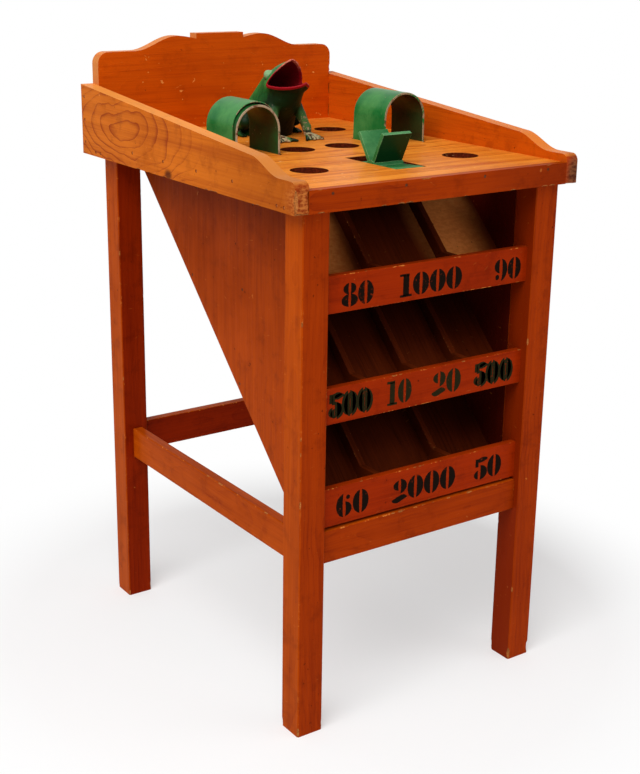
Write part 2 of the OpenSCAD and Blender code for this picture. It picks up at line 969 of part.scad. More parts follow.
front_leg(LEFT);  // leg_front_left
front_leg(RIGHT);  // leg_front_right
rear_leg(LEFT);  // leg_rear_left
rear_leg(RIGHT);  // leg_rear_right
side_stretcher(LEFT);  // side_stretcher_left
side_stretcher(RIGHT);  // side_stretcher_right
front_stretcher();
rear_stretcher();
rear_rail();
front_batten();
side_batten(LEFT);  // side_batten_left
side_batten(RIGHT);  // side_batten_right
side_panel(LEFT);  // side_panel_left
side_panel(RIGHT);  // side_panel_right
play_board();
front_fascia();
side_board(LEFT);  // side_board_left
side_board(RIGHT);  // side_board_right
back_board();
number_board(0);  // number_board_top
number_board(1);  // number_board_middle
number_board(2);  // number_board_bottom
chute(0);  // chute_top
chute(1);  // chute_middle
chute(2);  // chute_bottom
tray_floor(0);  // tray_floor_top
tray_floor(1);  // tray_floor_middle
tray_floor(2);  // tray_floor_bottom
slat(0, slat_spots[0][0]);  // slat_top_left
slat(0, slat_spots[0][1]);  // slat_top_right
slat(1, slat_spots[1][0]);  // slat_middle_left
slat(1, slat_spots[1][1]);  // slat_middle_centre
slat(1, slat_spots[1][2]);  // slat_middle_right
slat(2, slat_spots[2][0]);  // slat_bottom_left
slat(2, slat_spots[2][1]);  // slat_bottom_right
arch_right();
arch_left_cover();
arch_left_liner();
frog();
frog_screws();
paddle_wheel();
wheel_axle();
bearing_plate(LEFT);  // bearing_plate_left
bearing_plate(RIGHT);  // bearing_plate_right
bearing_screws();
fascia_nails();
side_board_nails();
panel_nails();
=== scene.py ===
"""Dresses the frog toss game: worn varnished boards, painted metal and stencilled numbers.

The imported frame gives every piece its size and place. Lengths are in metres, and a value times MM is in
millimetres.
"""

from __future__ import annotations

import logging
import math
import random
from collections.abc import Callable, Iterator, Sequence
from contextlib import contextmanager
from dataclasses import dataclass, field, replace
from enum import Enum

import bpy
from mathutils import Matrix, Vector, noise
from mathutils.bvhtree import BVHTree
from mathutils.kdtree import KDTree

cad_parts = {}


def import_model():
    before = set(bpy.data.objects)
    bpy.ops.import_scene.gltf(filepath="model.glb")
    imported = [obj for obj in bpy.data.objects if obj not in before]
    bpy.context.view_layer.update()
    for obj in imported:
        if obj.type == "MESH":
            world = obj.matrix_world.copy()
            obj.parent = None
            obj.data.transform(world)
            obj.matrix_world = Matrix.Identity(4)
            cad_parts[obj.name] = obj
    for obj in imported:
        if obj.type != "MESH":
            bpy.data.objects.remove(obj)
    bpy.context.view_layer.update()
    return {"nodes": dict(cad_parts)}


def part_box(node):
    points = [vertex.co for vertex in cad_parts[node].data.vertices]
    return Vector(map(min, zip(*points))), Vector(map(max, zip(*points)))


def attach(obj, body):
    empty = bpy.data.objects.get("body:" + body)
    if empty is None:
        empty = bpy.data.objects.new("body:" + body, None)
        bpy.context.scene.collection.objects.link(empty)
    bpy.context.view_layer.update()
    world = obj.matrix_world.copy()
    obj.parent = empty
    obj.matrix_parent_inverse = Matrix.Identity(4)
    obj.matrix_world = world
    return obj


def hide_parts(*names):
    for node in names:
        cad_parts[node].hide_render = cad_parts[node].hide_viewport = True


LOG = logging.getLogger("frog_toss_game")
MM = 0.001
CABINET = "cabinet"
WHEEL = "wheel"
NOWHERE = (0.0, 0.0, 0.0)
WHITE = (1.0, 1.0, 1.0)
MERGE = 0.01 * MM

Colour = tuple[float, float, float]
Point = tuple[float, float, float]
Piece = bpy.types.Object
Material = bpy.types.Material
Nodes = dict[str, Piece]


class Axis(Enum):
    """The direction that a board's grain runs in."""

    X = 0
    Y = 1
    Z = 2


def srgb(red: int, green: int, blue: int) -> Colour:
    """Returns a screen colour of 0 to 255 as linear light."""
    shares = (red / 255, green / 255, blue / 255)
    return tuple(c / 12.92 if c <= 0.04045 else ((c + 0.055) / 1.055) ** 2.4 for c in shares)


def dim(colour: Colour, share: float) -> Colour:
    """Returns a colour with only a share of its light."""
    return tuple(c * share for c in colour)


def rise(value: float, low: float, high: float) -> float:
    """Returns 0 to 1 as value goes from low to high."""
    return min(1.0, max(0.0, (value - low) / (high - low)))


class Signal:
    """One output of a shader graph, used in Python sums, products and differences."""

    def __init__(self, graph: Graph, socket: bpy.types.NodeSocket) -> None:
        """Keeps the socket and the graph that it belongs to."""
        self.graph = graph
        self.socket = socket

    def _math(self, operation: str, first: Value, second: Value) -> Signal:
        """Returns the Math node's result for two values."""
        return self.graph.node("ShaderNodeMath", {"operation": operation}, {0: first, 1: second})

    def __add__(self, other: Value) -> Signal:
        """Returns the sum."""
        return self._math("ADD", self, other)

    def __sub__(self, other: Value) -> Signal:
        """Returns the difference."""
        return self._math("SUBTRACT", self, other)

    def __rsub__(self, other: float) -> Signal:
        """Returns a number minus this value."""
        return self._math("SUBTRACT", other, self)

    def __mul__(self, other: Value) -> Signal:
        """Returns the product."""
        return self._math("MULTIPLY", self, other)

    def __truediv__(self, other: Value) -> Signal:
        """Returns the quotient."""
        return self._math("DIVIDE", self, other)

    def __pow__(self, other: float) -> Signal:
        """Returns the power."""
        return self._math("POWER", self, other)

    def fraction(self) -> Signal:
        """Returns what is left over a whole number."""
        return self._math("FRACT", self, 0.0)

    def highest(self, other: Value) -> Signal:
        """Returns the larger of two values."""
        return self._math("MAXIMUM", self, other)

    __radd__ = __add__
    __rmul__ = __mul__


Value = Signal | float


class Graph:
    """The shader graph of a material or of the world."""

    def __init__(self, name: str, world: bool = False) -> None:
        """Starts an empty graph.

        Args:
            name: The name of the material or world.
            world: True for a world.
        """
        self.material = (bpy.data.worlds if world else bpy.data.materials).new(name)
        self.material.use_nodes = True
        self.tree = self.material.node_tree
        self.tree.nodes.clear()

    def node(
        self, kind: str, settings: dict | None = None, inputs: dict | None = None, output: str | int = 0
    ) -> Signal:
        """Adds a node.

        Args:
            kind: The node's type.
            settings: Properties that are set first.
            inputs: Values or signals, by the socket's name, identifier or number.
            output: The output that is returned.

        Returns:
            The chosen output.
        """
        made = self.tree.nodes.new(kind)
        for key, value in (settings or {}).items():
            setattr(made, key, value)
        for key, value in (inputs or {}).items():
            socket = self._find(made.inputs, key)
            if isinstance(value, Signal):
                self.tree.links.new(value.socket, socket)
            else:
                socket.default_value = (*value, 1.0) if socket.type == "RGBA" else value
        return Signal(self, self._find(made.outputs, output))

    @staticmethod
    def _find(sockets: bpy.types.bpy_prop_collection, key: str | int) -> bpy.types.NodeSocket:
        """Returns the socket with that number, identifier or name."""
        named = (socket for socket in sockets if socket.identifier == key)
        return next(named, None) or sockets[key]

    def place(self) -> Signal:
        """Returns the point in the object's own frame."""
        return self.node("ShaderNodeTexCoord", output="Object")

    def attribute(self, name: str) -> Signal:
        """Returns a number that the mesh stores under that name."""
        return self.node("ShaderNodeAttribute", {"attribute_name": name}, output="Fac")

    def vector(self, operation: str, first: Signal, second: Signal | Point = NOWHERE) -> Signal:
        """Returns a Vector Math node's result."""
        output = "Value" if operation == "LENGTH" else "Vector"
        return self.node("ShaderNodeVectorMath", {"operation": operation}, {0: first, 1: second}, output)

    def times(self, first: Signal, share: Value) -> Signal:
        """Returns a vector times a number."""
        return self.node("ShaderNodeVectorMath", {"operation": "SCALE"}, {0: first, "Scale": share}, "Vector")

    def stretch(self, where: Signal, scale: Point, centre: Point = NOWHERE, turn: Point = NOWHERE) -> Signal:
        """Returns where, scaled and turned about a centre, as the input of a pattern."""
        moved = self.vector("SUBTRACT", where, centre)
        return self.node("ShaderNodeMapping", inputs={"Vector": moved, "Rotation": turn, "Scale": scale})

    def cloud(self, where: Signal, scale: float, detail: float = 3.0, rough: float = 0.55) -> Signal:
        """Returns a noise of 0 to 1, with its middle at 0.5."""
        inputs = {"Vector": where, "Scale": scale, "Detail": detail, "Roughness": rough}
        return self.node("ShaderNodeTexNoise", inputs=inputs, output="Fac")

    def blotch(
        self, where: Signal, scale: float, low: float, high: float, detail: float = 3.0, rough: float = 0.55
    ) -> Signal:
        """Returns a noise with its steps from low to high spread over 0 to 1."""
        return self.ramp(self.cloud(where, scale, detail, rough), low, high)

    def drift(self, where: Signal, scale: float, amount: float) -> Signal:
        """Moves a pattern's points about.

        Args:
            where: The points.
            scale: The scale of the noise that moves them.
            amount: How far it moves them.

        Returns:
            The moved points.
        """
        inputs = {"Vector": where, "Scale": scale, "Detail": 2.0}
        shift = self.node("ShaderNodeTexNoise", inputs=inputs, output="Color")
        centred = self.vector("SUBTRACT", shift, (0.5, 0.5, 0.5))
        return self.vector("ADD", where, self.times(centred, amount))

    def ramp(self, value: Signal, low: float, high: float) -> Signal:
        """Returns a smooth 0 to 1 as value goes from low to high."""
        inputs = {"Value": value, "From Min": low, "From Max": high}
        return self.node("ShaderNodeMapRange", {"interpolation_type": "SMOOTHSTEP"}, inputs)

    def mix(
        self, mask: Value, first: Signal | Colour, second: Signal | Colour, blend: str = "MIX"
    ) -> Signal:
        """Returns the first colour where mask is 0 and the second where it is 1."""
        inputs = {"Factor_Float": mask, "A_Color": first, "B_Color": second}
        return self.node("ShaderNodeMix", {"data_type": "RGBA", "blend_type": blend}, inputs, "Result_Color")

    def axis(self, where: Signal, axis: Axis) -> Signal:
        """Returns one part of a vector."""
        return self.node("ShaderNodeSeparateXYZ", inputs={0: where}, output=axis.value)

    def facing(self, axis: Axis, sign: int, low: float = 0.5, high: float = 0.9) -> Signal:
        """Returns 1 on faces that look along an axis of the object's own frame."""
        normal = self.node("ShaderNodeTexCoord", output="Normal")
        return self.ramp(self.axis(normal, axis) * sign, low, high)

    def near(self, where: Signal, centre: Point, scale: Point, low: float, high: float) -> Signal:
        """Returns 1 within low of a centre, falling to 0 at high, with each axis scaled."""
        distance = self.vector("LENGTH", self.stretch(where, scale, centre))
        return 1.0 - self.ramp(distance, low, high)

    def close(
        self,
        colour: Signal,
        roughness: Value,
        height: Signal,
        depth: float,
        specular: float,
        metallic: float = 0.0,
    ) -> Material:
        """Ends the graph in a Principled shader.

        Args:
            colour: The base colour.
            roughness: The roughness.
            height: A height of 0 to 1 for the bump.
            depth: What a height of 1 stands for.
            specular: The specular level.
            metallic: The metallic share.

        Returns:
            The material.
        """
        bump = self.node("ShaderNodeBump", inputs={"Distance": depth, "Height": height}, output="Normal")
        inputs = {
            "Base Color": colour,
            "Roughness": roughness,
            "Metallic": metallic,
            "Specular IOR Level": specular,
            "Normal": bump,
        }
        return self.end(self.node("ShaderNodeBsdfPrincipled", inputs=inputs))

    def end(self, shader: Signal, kind: str = "ShaderNodeOutputMaterial") -> Material | bpy.types.World:
        """Ends the graph in a shader.

        Args:
            shader: The shader.
            kind: The output node's type.

        Returns:
            The graph's material or world.
        """
        made = self.tree.nodes.new(kind)
        self.tree.links.new(shader.socket, made.inputs["Surface"])
        return self.material


@dataclass(frozen=True)
class Knot:
    """A round mark on a piece: a knot, a worn patch or a chipped spot."""

    centre: Point
    radius: float


@dataclass(frozen=True)
class Varnish:
    """A varnished wood with growth rings, fibres, scuffs and worn edges, and painted light and shade on faces
    by the way they look.
    """

    name: str
    light: Colour
    dark: Colour
    # front multiplies the colour of the faces that look forwards: painted shade.
    front: Colour = WHITE
    grain: Axis = Axis.X
    heart: Point = NOWHERE
    length: float = 12.0
    ring: float = 9 * MM
    ring_strength: float = 0.45
    ring_edge: float = 3.0
    ring_fade: tuple[Axis, float, float] | None = None
    swirl: float = 0.02
    sloped: bool = False
    grime: float = 0.35
    mottled: float = 0.3
    fibres: float = 0.8
    streaks: float = 1.0
    scuff: float = 0.35
    scratched: float = 0.2
    worn: Colour = srgb(226, 138, 60)
    roughness: float = 0.42
    knots: tuple[Knot, ...] = ()
    patches: tuple[Knot, ...] = ()
    patch_light: Colour = srgb(226, 146, 78)
    patch_dark: Colour = srgb(190, 104, 48)
    # top, inner and wall colour faces by the way they look: a painted highlight on top faces, painted shade on
    # faces that look along x (painted light on the back board) and painted shade on a hole's wall. deep is a
    # painted shade that grows along an axis.
    top: Colour | None = None
    inner: Colour | None = None
    inner_sign: int = 1
    wall: Colour | None = None
    deep: tuple[Axis, float, float, float] | None = None
    seed: float = 0.0

    def scaled(self, across: float, along: float) -> Point:
        """Gives a scale for each axis.

        Args:
            across: The scale across the grain.
            along: The scale along it.

        Returns:
            The three scales.
        """
        if self.sloped:
            return (across, along, along)
        return tuple(along if axis is self.grain else across for axis in Axis)

    def _faces(self, graph: Graph, place: Signal, colour: Signal) -> Signal:
        """Paints light and shade by the way a face looks and where it is: painted shade on the front, a painted
        highlight on the top, painted shade on faces that look along x (painted light on the back board),
        painted shade on a hole's wall and a painted shade that grows along an axis. It also lays the round
        patches: worn pale wood on some boards and painted pools of light in the top chute.

        Args:
            graph: The graph.
            place: The point on the board.
            colour: The board's colour.

        Returns:
            The tinted colour.
        """
        front = graph.facing(Axis.Y, -1)
        colour = graph.mix(front, colour, graph.mix(1.0, colour, self.front, "MULTIPLY"))
        if self.top is not None:
            colour = graph.mix(graph.facing(Axis.Z, 1, 0.6, 0.85) * 0.7, colour, self.top)
        if self.inner is not None:
            colour = graph.mix(graph.facing(Axis.X, self.inner_sign) * 0.9, colour, self.inner)
        if self.wall is not None:
            flat = graph.facing(Axis.Z, 1, 0.3, 0.7)
            rough = graph.blotch(place, 340.0, 0.45, 0.7, rough=0.7)
            colour = graph.mix(flat, graph.mix(rough, dim(self.wall, 0.4), self.wall), colour)
        # Painted shade, darker along an axis.
        if self.deep is not None:
            axis, start, end, strength = self.deep
            depth = graph.ramp(graph.axis(place, axis), start, end)
            gloom = tuple(c * k for c, k in zip(self.dark, (0.35, 0.12, 0.15)))
            colour = graph.mix(depth * strength, colour, gloom)
        # Worn pale patches, and painted pools of light in the top chute.
        for spot in self.patches:
            pale = graph.near(place, spot.centre, (1.0, 0.55, 0.55), spot.radius * 0.2, spot.radius)
            rough = graph.blotch(graph.stretch(place, (110.0, 110.0, 240.0)), 1.0, 0.38, 0.62, 5.0, 0.7)
            colour = graph.mix(pale * 0.93, colour, graph.mix(rough, self.patch_light, self.patch_dark))
        return colour

    def _rings(self, graph: Graph, place: Signal) -> Signal:
        """Draws the growth rings, which bend round the knots.

        Args:
            graph: The graph.
            place: The point on the board.

        Returns:
            A value that rises to 1 at each ring's outer edge.
        """
        bent = graph.drift(graph.drift(place, 7.0, self.swirl), 34.0, self.swirl * 0.1)
        for knot in self.knots:
            pull = graph.near(place, knot.centre, self.scaled(1.0, 0.6), knot.radius, knot.radius * 5)
            aside = graph.vector("SUBTRACT", place, knot.centre)
            bent = graph.vector("ADD", bent, graph.times(aside, pull * 0.6))
        core = graph.stretch(bent, self.scaled(1.0, 1.0 / self.length), self.heart)
        rings = graph.vector("LENGTH", core) / self.ring + graph.cloud(place, 4.0) * 2.5
        late = rings.fraction() ** self.ring_edge
        if self.ring_fade is None:
            return late
        axis, start, end = self.ring_fade
        return late * (1.0 - graph.ramp(graph.axis(place, axis), start, end) * 0.85)

    def build(self, edge: bool = False) -> Material:
        """Makes the material.

        Args:
            edge: True for the rounded edges, where the varnish has worn pale.

        Returns:
            The material.
        """
        graph = Graph(self.name + ("_edge" if edge else ""))
        where = graph.vector("ADD", graph.place(), (self.seed, self.seed * 0.7, self.seed * 1.3))
        place = graph.place()
        late = self._rings(graph, place)
        faint = graph.blotch(where, 8.0, 0.35, 0.7)
        fibre = graph.cloud(graph.stretch(where, self.scaled(420.0, 9.0)), 1.0, 4.0)
        streak = graph.cloud(graph.stretch(where, self.scaled(60.0, 2.2)), 1.0)
        shade = late * (0.25 + faint * 0.75) * self.ring_strength + (fibre - 0.5) * self.fibres
        shade += (streak - 0.5) * self.streaks
        colour = graph.mix(graph.ramp(shade, -0.25, 0.8), self.light, self.dark)
        patch = graph.blotch(where, 5.0, 0.45, 0.75, 4.0)
        colour = graph.mix(patch * self.grime, colour, self.dark)
        mottle = graph.blotch(where, 34.0, 0.5, 0.7, 5.0, 0.68)
        colour = graph.mix(mottle * self.mottled, colour, dim(self.dark, 0.6))
        colour = self._faces(graph, place, colour)
        for knot in self.knots:
            heart = graph.near(place, knot.centre, self.scaled(1.0, 0.7), knot.radius * 0.3, knot.radius)
            colour = graph.mix(heart * 0.85, colour, dim(self.dark, 0.22))
        dot = graph.blotch(where, 75.0, 0.78 - 0.07 * self.scuff, 0.81 - 0.07 * self.scuff, 2.0)
        speck = graph.blotch(graph.vector("ADD", where, (3.1, 1.7, 0.4)), 130.0, 0.72, 0.77, 2.0)
        hair = graph.stretch(graph.drift(where, 3.0, 0.3), (45.0, 60.0, 420.0), turn=(0.5, 0.4, 0.3))
        scratch = graph.blotch(hair, 1.0, 0.72, 0.76, 2.0)
        colour = graph.mix(scratch * self.scratched, colour, self.worn)
        colour = graph.mix(dot * self.scuff, colour, self.worn)
        colour = graph.mix(speck * 0.7, colour, dim(self.dark, 0.25))
        if edge:
            rub = graph.cloud(where, 30.0, 6.0, 0.7) + (graph.cloud(where, 240.0, 2.0) - 0.5) * 0.5
            bare = graph.ramp(rub, 0.66 - 0.26 * self.scuff, 0.74 - 0.2 * self.scuff)
            colour = graph.mix(bare * 0.7, colour, self.worn)
        rough = self.roughness + (patch - 0.5) * 0.12 + (fibre - 0.5) * 0.25
        height = fibre * 0.5 + late * 0.35 + (1.0 - dot) * 0.6
        return graph.close(colour, rough, height, 0.35 * MM, specular=0.02)


@dataclass(frozen=True)
class BareWood:
    """Raw wood inside a chip, or the dark filler inside a nail's dent."""

    name: str
    light: Colour
    dark: Colour

    def build(self) -> Material:
        """Makes the material.

        Returns:
            The material.
        """
        graph = Graph(self.name)
        fibre = graph.cloud(graph.stretch(graph.place(), (700.0, 30.0, 700.0)), 1.0, 4.0, 0.7)
        soil = graph.blotch(graph.place(), 160.0, 0.4, 0.7)
        colour = graph.mix(graph.ramp(fibre, 0.35, 0.7), self.light, self.dark)
        return graph.close(graph.mix(soil * 0.5, colour, self.dark), 0.8, fibre, 0.5 * MM, specular=0.1)


@dataclass(frozen=True)
class Enamel:
    """A green enamel on metal, chipped to its primer and to rust, with painted shade on the faces that look
    down where shaded is set.
    """

    name: str
    body: Colour
    faded: Colour
    primer: Colour = srgb(150, 132, 102)
    rust: Colour = srgb(96, 52, 26)
    wear: float = 0.4
    # shaded paints shade on the faces that look down.
    shaded: float = 0.0
    roughness: float = 0.36
    chips: tuple[Knot, ...] = ()
    seed: float = 0.0

    def build(self, edge: bool = False) -> Material:
        """Makes the material.

        Args:
            edge: True for the rims, where the enamel has worn through.

        Returns:
            The material.
        """
        graph = Graph(self.name + ("_edge" if edge else ""))
        place = graph.place()
        where = graph.vector("ADD", place, (self.seed, self.seed, 0.0))
        age = graph.blotch(where, 16.0, 0.35, 0.7, 5.0, 0.6)
        colour = graph.mix(age * 0.7, self.body, self.faded)
        brush = graph.cloud(graph.stretch(where, (40.0, 260.0, 260.0)), 1.0)
        colour = graph.mix((brush - 0.4) * 0.5, colour, dim(self.body, 0.45))
        # Painted shade on the faces that look down.
        if self.shaded:
            under = graph.facing(Axis.Z, -1, 0.0, 0.35) * self.shaded
            colour = graph.mix(under, colour, dim(self.body, 0.22))
        rub = graph.cloud(where, 46.0, 6.0, 0.7)
        fleck = graph.cloud(where, 190.0, 2.0)
        scar = graph.ramp(fleck, 0.73, 0.77)
        for chip in self.chips:
            spot = graph.near(place, chip.centre, (1.0, 1.0, 1.0), 0.0, chip.radius)
            scar = scar.highest(graph.ramp(spot + (fleck - 0.5) * 1.6, 0.55, 0.75))
        if edge:
            start = 0.62 - 0.3 * self.wear
            scar = scar.highest(graph.ramp(rub + (fleck - 0.5) * 0.35, start, start + 0.08))
        tone = graph.mix(graph.blotch(where, 90.0, 0.5, 0.72), self.primer, self.rust)
        colour = graph.mix(scar, colour, tone)
        rough = self.roughness + scar * 0.3 + (age - 0.5) * 0.15
        height = (1.0 - scar) * 0.6 + rub * 0.5 + brush * 0.2
        return graph.close(colour, rough, height, 0.3 * MM, specular=0.15)


@dataclass(frozen=True)
class FrogPaint:
    """The frog's enamel: green skin, red lips with a painted highlight on the upper lip, a dark throat, painted
    shade on the front of the body, under the belly and in the creases, and wear on the legs and feet.
    """

    name: str = "frog_enamel"
    green: Colour = srgb(14, 92, 40)
    bright: Colour = srgb(44, 150, 66)
    chest_shade: Colour = srgb(11, 19, 7)
    leg: Colour = srgb(100, 104, 66)
    eye: Colour = srgb(150, 196, 140)
    lip: Colour = srgb(148, 14, 26)
    lip_highlight: Colour = srgb(214, 122, 98)
    throat: Colour = srgb(112, 4, 12)
    # crease is painted shade in the creases.
    crease: Colour = srgb(8, 12, 8)
    bare: Colour = srgb(166, 148, 112)
    rust: Colour = srgb(110, 58, 28)

    def build(self) -> Material:
        """Makes the material.

        Returns:
            The material.
        """
        graph = Graph(self.name)
        place = graph.place()
        lip, inside, eye, limb, upper, crease, shade = (graph.attribute(name) for name in Frog.MASKS)
        patch = graph.blotch(place, 38.0, 0.35, 0.7, 5.0, 0.6)
        fleck = graph.cloud(place, 260.0, 3.0, 0.7)
        colour = graph.mix(patch * 0.6, self.green, self.bright)
        # Painted shade on the faces of the body that look forwards.
        chest_shade = graph.facing(Axis.Y, -1, -0.3, 0.3) * (1.0 - limb).highest(0.0) * 0.95
        colour = graph.mix(chest_shade, colour, self.chest_shade)
        # Painted shade under the belly.
        colour = graph.mix(shade * 0.95, colour, dim(self.chest_shade, 0.5))
        colour = graph.mix(limb * 0.45, colour, self.leg)
        worn = graph.ramp(graph.cloud(place, 170.0, 5.0, 0.7) + limb * 0.15, 0.68, 0.76)
        rusty = graph.blotch(place, 160.0, 0.52, 0.66)
        colour = graph.mix(worn, colour, graph.mix(rusty, self.bare, self.rust))
        colour = graph.mix(eye * 0.7, colour, self.eye)
        colour = graph.mix(inside, colour, self.throat)
        # The top of the upper lip is paler: a painted highlight.
        red = graph.mix(upper * graph.ramp(fleck, 0.3, 0.6), self.lip, self.lip_highlight)
        colour = graph.mix(lip, colour, red)
        # Painted shade in the creases.
        colour = graph.mix(crease * 0.9, colour, self.crease)
        rough = 0.44 + worn * 0.3 + inside * 0.3
        height = (1.0 - worn) * 0.4 + graph.cloud(place, 300.0) * 0.5 + patch * 0.3
        return graph.close(colour, rough, height, 0.5 * MM, specular=0.1)


@dataclass(frozen=True)
class Stencil:
    """The numbers' black paint, thin enough in places for the board to show through."""

    name: str
    ink: Colour
    board: Colour
    thin: float

    def build(self) -> Material:
        """Makes the material.

        Returns:
            The material.
        """
        graph = Graph(self.name)
        place = graph.place()
        rub = graph.cloud(place, 240.0, 6.0, 0.7) + (graph.cloud(place, 40.0) - 0.5) * 0.6
        start = 0.72 - 0.3 * self.thin
        bare = graph.ramp(rub, start, start + 0.12)
        colour = graph.mix(bare * 0.85, self.ink, self.board)
        return graph.close(colour, 0.7, rub, 0.15 * MM, specular=0.03)


@dataclass(frozen=True)
class Steel:
    """Dull or rusted steel."""

    name: str
    light: Colour
    rust: Colour
    rusted: float
    bright: float = 0.7

    def build(self) -> Material:
        """Makes the material.

        Returns:
            The material.
        """
        graph = Graph(self.name)
        place = graph.place()
        stain = graph.blotch(place, 130.0, 0.62 - 0.3 * self.rusted, 0.74 - 0.2 * self.rusted, 5.0, 0.65)
        grit = graph.cloud(place, 900.0)
        colour = graph.mix(stain, self.light, self.rust)
        return graph.close(colour, 0.4 + stain * 0.4, grit, 0.2 * MM, specular=0.2, metallic=self.bright)


class Bench:
    """Adds, shapes and finishes meshes."""

    @staticmethod
    def pick(*pieces: Piece) -> None:
        """Selects these objects and nothing else.

        Args:
            pieces: The objects. The first one becomes the active one.
        """
        bpy.ops.object.select_all(action="DESELECT")
        for piece in pieces:
            piece.select_set(True)
        bpy.context.view_layer.objects.active = pieces[0]

    @classmethod
    @contextmanager
    def shaping(cls, piece: Piece) -> Iterator[None]:
        """Opens a piece in edit mode, with all of it selected.

        Args:
            piece: The piece.

        Yields:
            Nothing, while the piece is open.
        """
        cls.pick(piece)
        bpy.ops.object.mode_set(mode="EDIT")
        bpy.ops.mesh.select_all(action="SELECT")
        yield
        bpy.ops.object.mode_set(mode="OBJECT")

    @classmethod
    def modify(cls, piece: Piece, kind: str, **settings: object) -> None:
        """Adds a modifier and applies it.

        Args:
            piece: The object.
            kind: The modifier's type.
            settings: The modifier's properties.
        """
        cls.pick(piece)
        modifier = piece.modifiers.new(kind.title(), kind)
        for key, value in settings.items():
            setattr(modifier, key, value)
        bpy.ops.object.modifier_apply(modifier=modifier.name)

    @staticmethod
    def add(kind: str, **settings: object) -> Piece:
        """Adds a primitive, with its place in its mesh.

        Args:
            kind: The primitive's name.
            settings: Its size and place.

        Returns:
            The primitive, for the caller to shape.
        """
        bpy.ops.object.select_all(action="DESELECT")
        getattr(bpy.ops.mesh, f"primitive_{kind}_add")(**settings)
        bpy.ops.object.transform_apply(location=True, rotation=True, scale=True)
        return bpy.context.object

    @classmethod
    def sheet(
        cls, name: str, cells: tuple[int, int], shape: Callable[[float, float], Vector], closed: bool = False
    ) -> Piece:
        """Adds a grid and lays it along a shape.

        Args:
            name: The piece's name.
            cells: How many cells the grid has in u and v.
            shape: Gives the place of u and v, each 0 to 1.
            closed: True joins u's two ends and fills the holes at v's two ends.

        Returns:
            The piece.
        """
        piece = cls.add("grid", x_subdivisions=cells[0], y_subdivisions=cells[1], size=1)
        piece.name = piece.data.name = name
        for vertex in piece.data.vertices:
            vertex.co = shape(vertex.co.x + 0.5, vertex.co.y + 0.5)
        if closed:
            with cls.shaping(piece):
                bpy.ops.mesh.remove_doubles(threshold=MERGE)
                bpy.ops.mesh.fill_holes(sides=0)
                bpy.ops.mesh.normals_make_consistent(inside=False)
        return piece

    @classmethod
    def turn_outwards(cls, piece: Piece) -> None:
        """Turns all faces of a piece to the same side, outwards where it is closed."""
        with cls.shaping(piece):
            bpy.ops.mesh.normals_make_consistent(inside=False)

    @classmethod
    def limb(cls, start: Vector, first: float, end: Vector, last: float) -> Piece:
        """Makes a tapering limb with round ends.

        Args:
            start: The middle of the first end.
            first: The first end's radius.
            end: The middle of the last end.
            last: The last end's radius.

        Returns:
            The piece.
        """
        cells = 16
        along = (end - start).normalized()
        side = along.orthogonal().normalized()
        other = along.cross(side)

        def shape(u: float, v: float) -> Vector:
            """Returns the place of u and v."""
            turn, tilt = math.tau * u, math.pi * v
            middle, radius = (start, first) if v < 0.5 else (end, last)
            around = side * math.cos(turn) + other * math.sin(turn)
            return middle + radius * (around * math.sin(tilt) - along * math.cos(tilt))

        return cls.sheet("limb", (cells, cells - 1), shape, closed=True)

    @classmethod
    def copy(cls, node: Piece, name: str) -> Piece:
        """Copies a node's mesh and merges its loose triangles into whole faces.

        Args:
            node: The node.
            name: The new piece's name.

        Returns:
            The new piece, with no finish.
        """
        piece = bpy.data.objects.new(name, node.data.copy())
        piece.data.name = name
        bpy.context.scene.collection.objects.link(piece)
        piece.data.materials.clear()
        with cls.shaping(piece):
            bpy.ops.mesh.customdata_custom_splitnormals_clear()
            bpy.ops.mesh.remove_doubles(threshold=MERGE / 2)
            bpy.ops.mesh.dissolve_limited(angle_limit=math.radians(0.4))
        return piece

    @classmethod
    def join(cls, pieces: Sequence[Piece], name: str) -> Piece:
        """Joins pieces into the first one.

        Args:
            pieces: The pieces.
            name: The new name of the first one.

        Returns:
            The first piece.
        """
        cls.pick(*pieces)
        bpy.ops.object.join()
        pieces[0].name = pieces[0].data.name = name
        return pieces[0]

    @classmethod
    def cut(cls, piece: Piece, cutter: Piece) -> None:
        """Cuts one piece out of another and removes the cutter.

        Args:
            piece: The piece that is cut.
            cutter: The piece that cuts it.
        """
        cls.modify(
            piece, "BOOLEAN", object=cutter, operation="DIFFERENCE", solver="MANIFOLD",
            material_mode="TRANSFER",
        )
        bpy.data.objects.remove(cutter)

    @classmethod
    def soften(cls, piece: Piece, width: float, angle: float, segments: int = 3, material: int = -1) -> None:
        """Rounds the edges of a piece.

        Args:
            piece: The piece.
            width: How far the rounding reaches.
            angle: The bend in degrees from which an edge is rounded.
            segments: How many faces go round an edge.
            material: The number of the edges' finish, or -1 for that of the faces beside them.
        """
        cls.modify(
            piece, "BEVEL", width=width, segments=segments, limit_method="ANGLE",
            angle_limit=math.radians(angle), material=material,
        )

    @classmethod
    def smooth(cls, piece: Piece) -> None:
        """Shades a piece smooth up to 38 degrees, with its flat faces kept flat.

        Args:
            piece: The piece.
        """
        cls.pick(piece)
        bpy.ops.object.shade_smooth_by_angle(angle=math.radians(38.0))
        cls.modify(piece, "WEIGHTED_NORMAL", keep_sharp=True, weight=100)

    @staticmethod
    def paint(piece: Piece, *finishes: Material) -> None:
        """Gives a piece its finishes, in place of any that it has.

        Args:
            piece: The piece.
            finishes: Its finishes, in the order of their numbers.
        """
        piece.data.materials.clear()
        for finish in finishes:
            piece.data.materials.append(finish)

    @staticmethod
    def settle(piece: Piece, body: str, slot: str, *nodes: str) -> Piece:
        """Puts a finished piece on its body and hides the nodes that it stands for.

        Args:
            piece: The piece.
            body: The body that it rides on.
            slot: The record's slot for its finish; not used.
            nodes: The nodes that it stands for.

        Returns:
            The piece.
        """
        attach(piece, body)
        for node in nodes:
            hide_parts(node)
        return piece


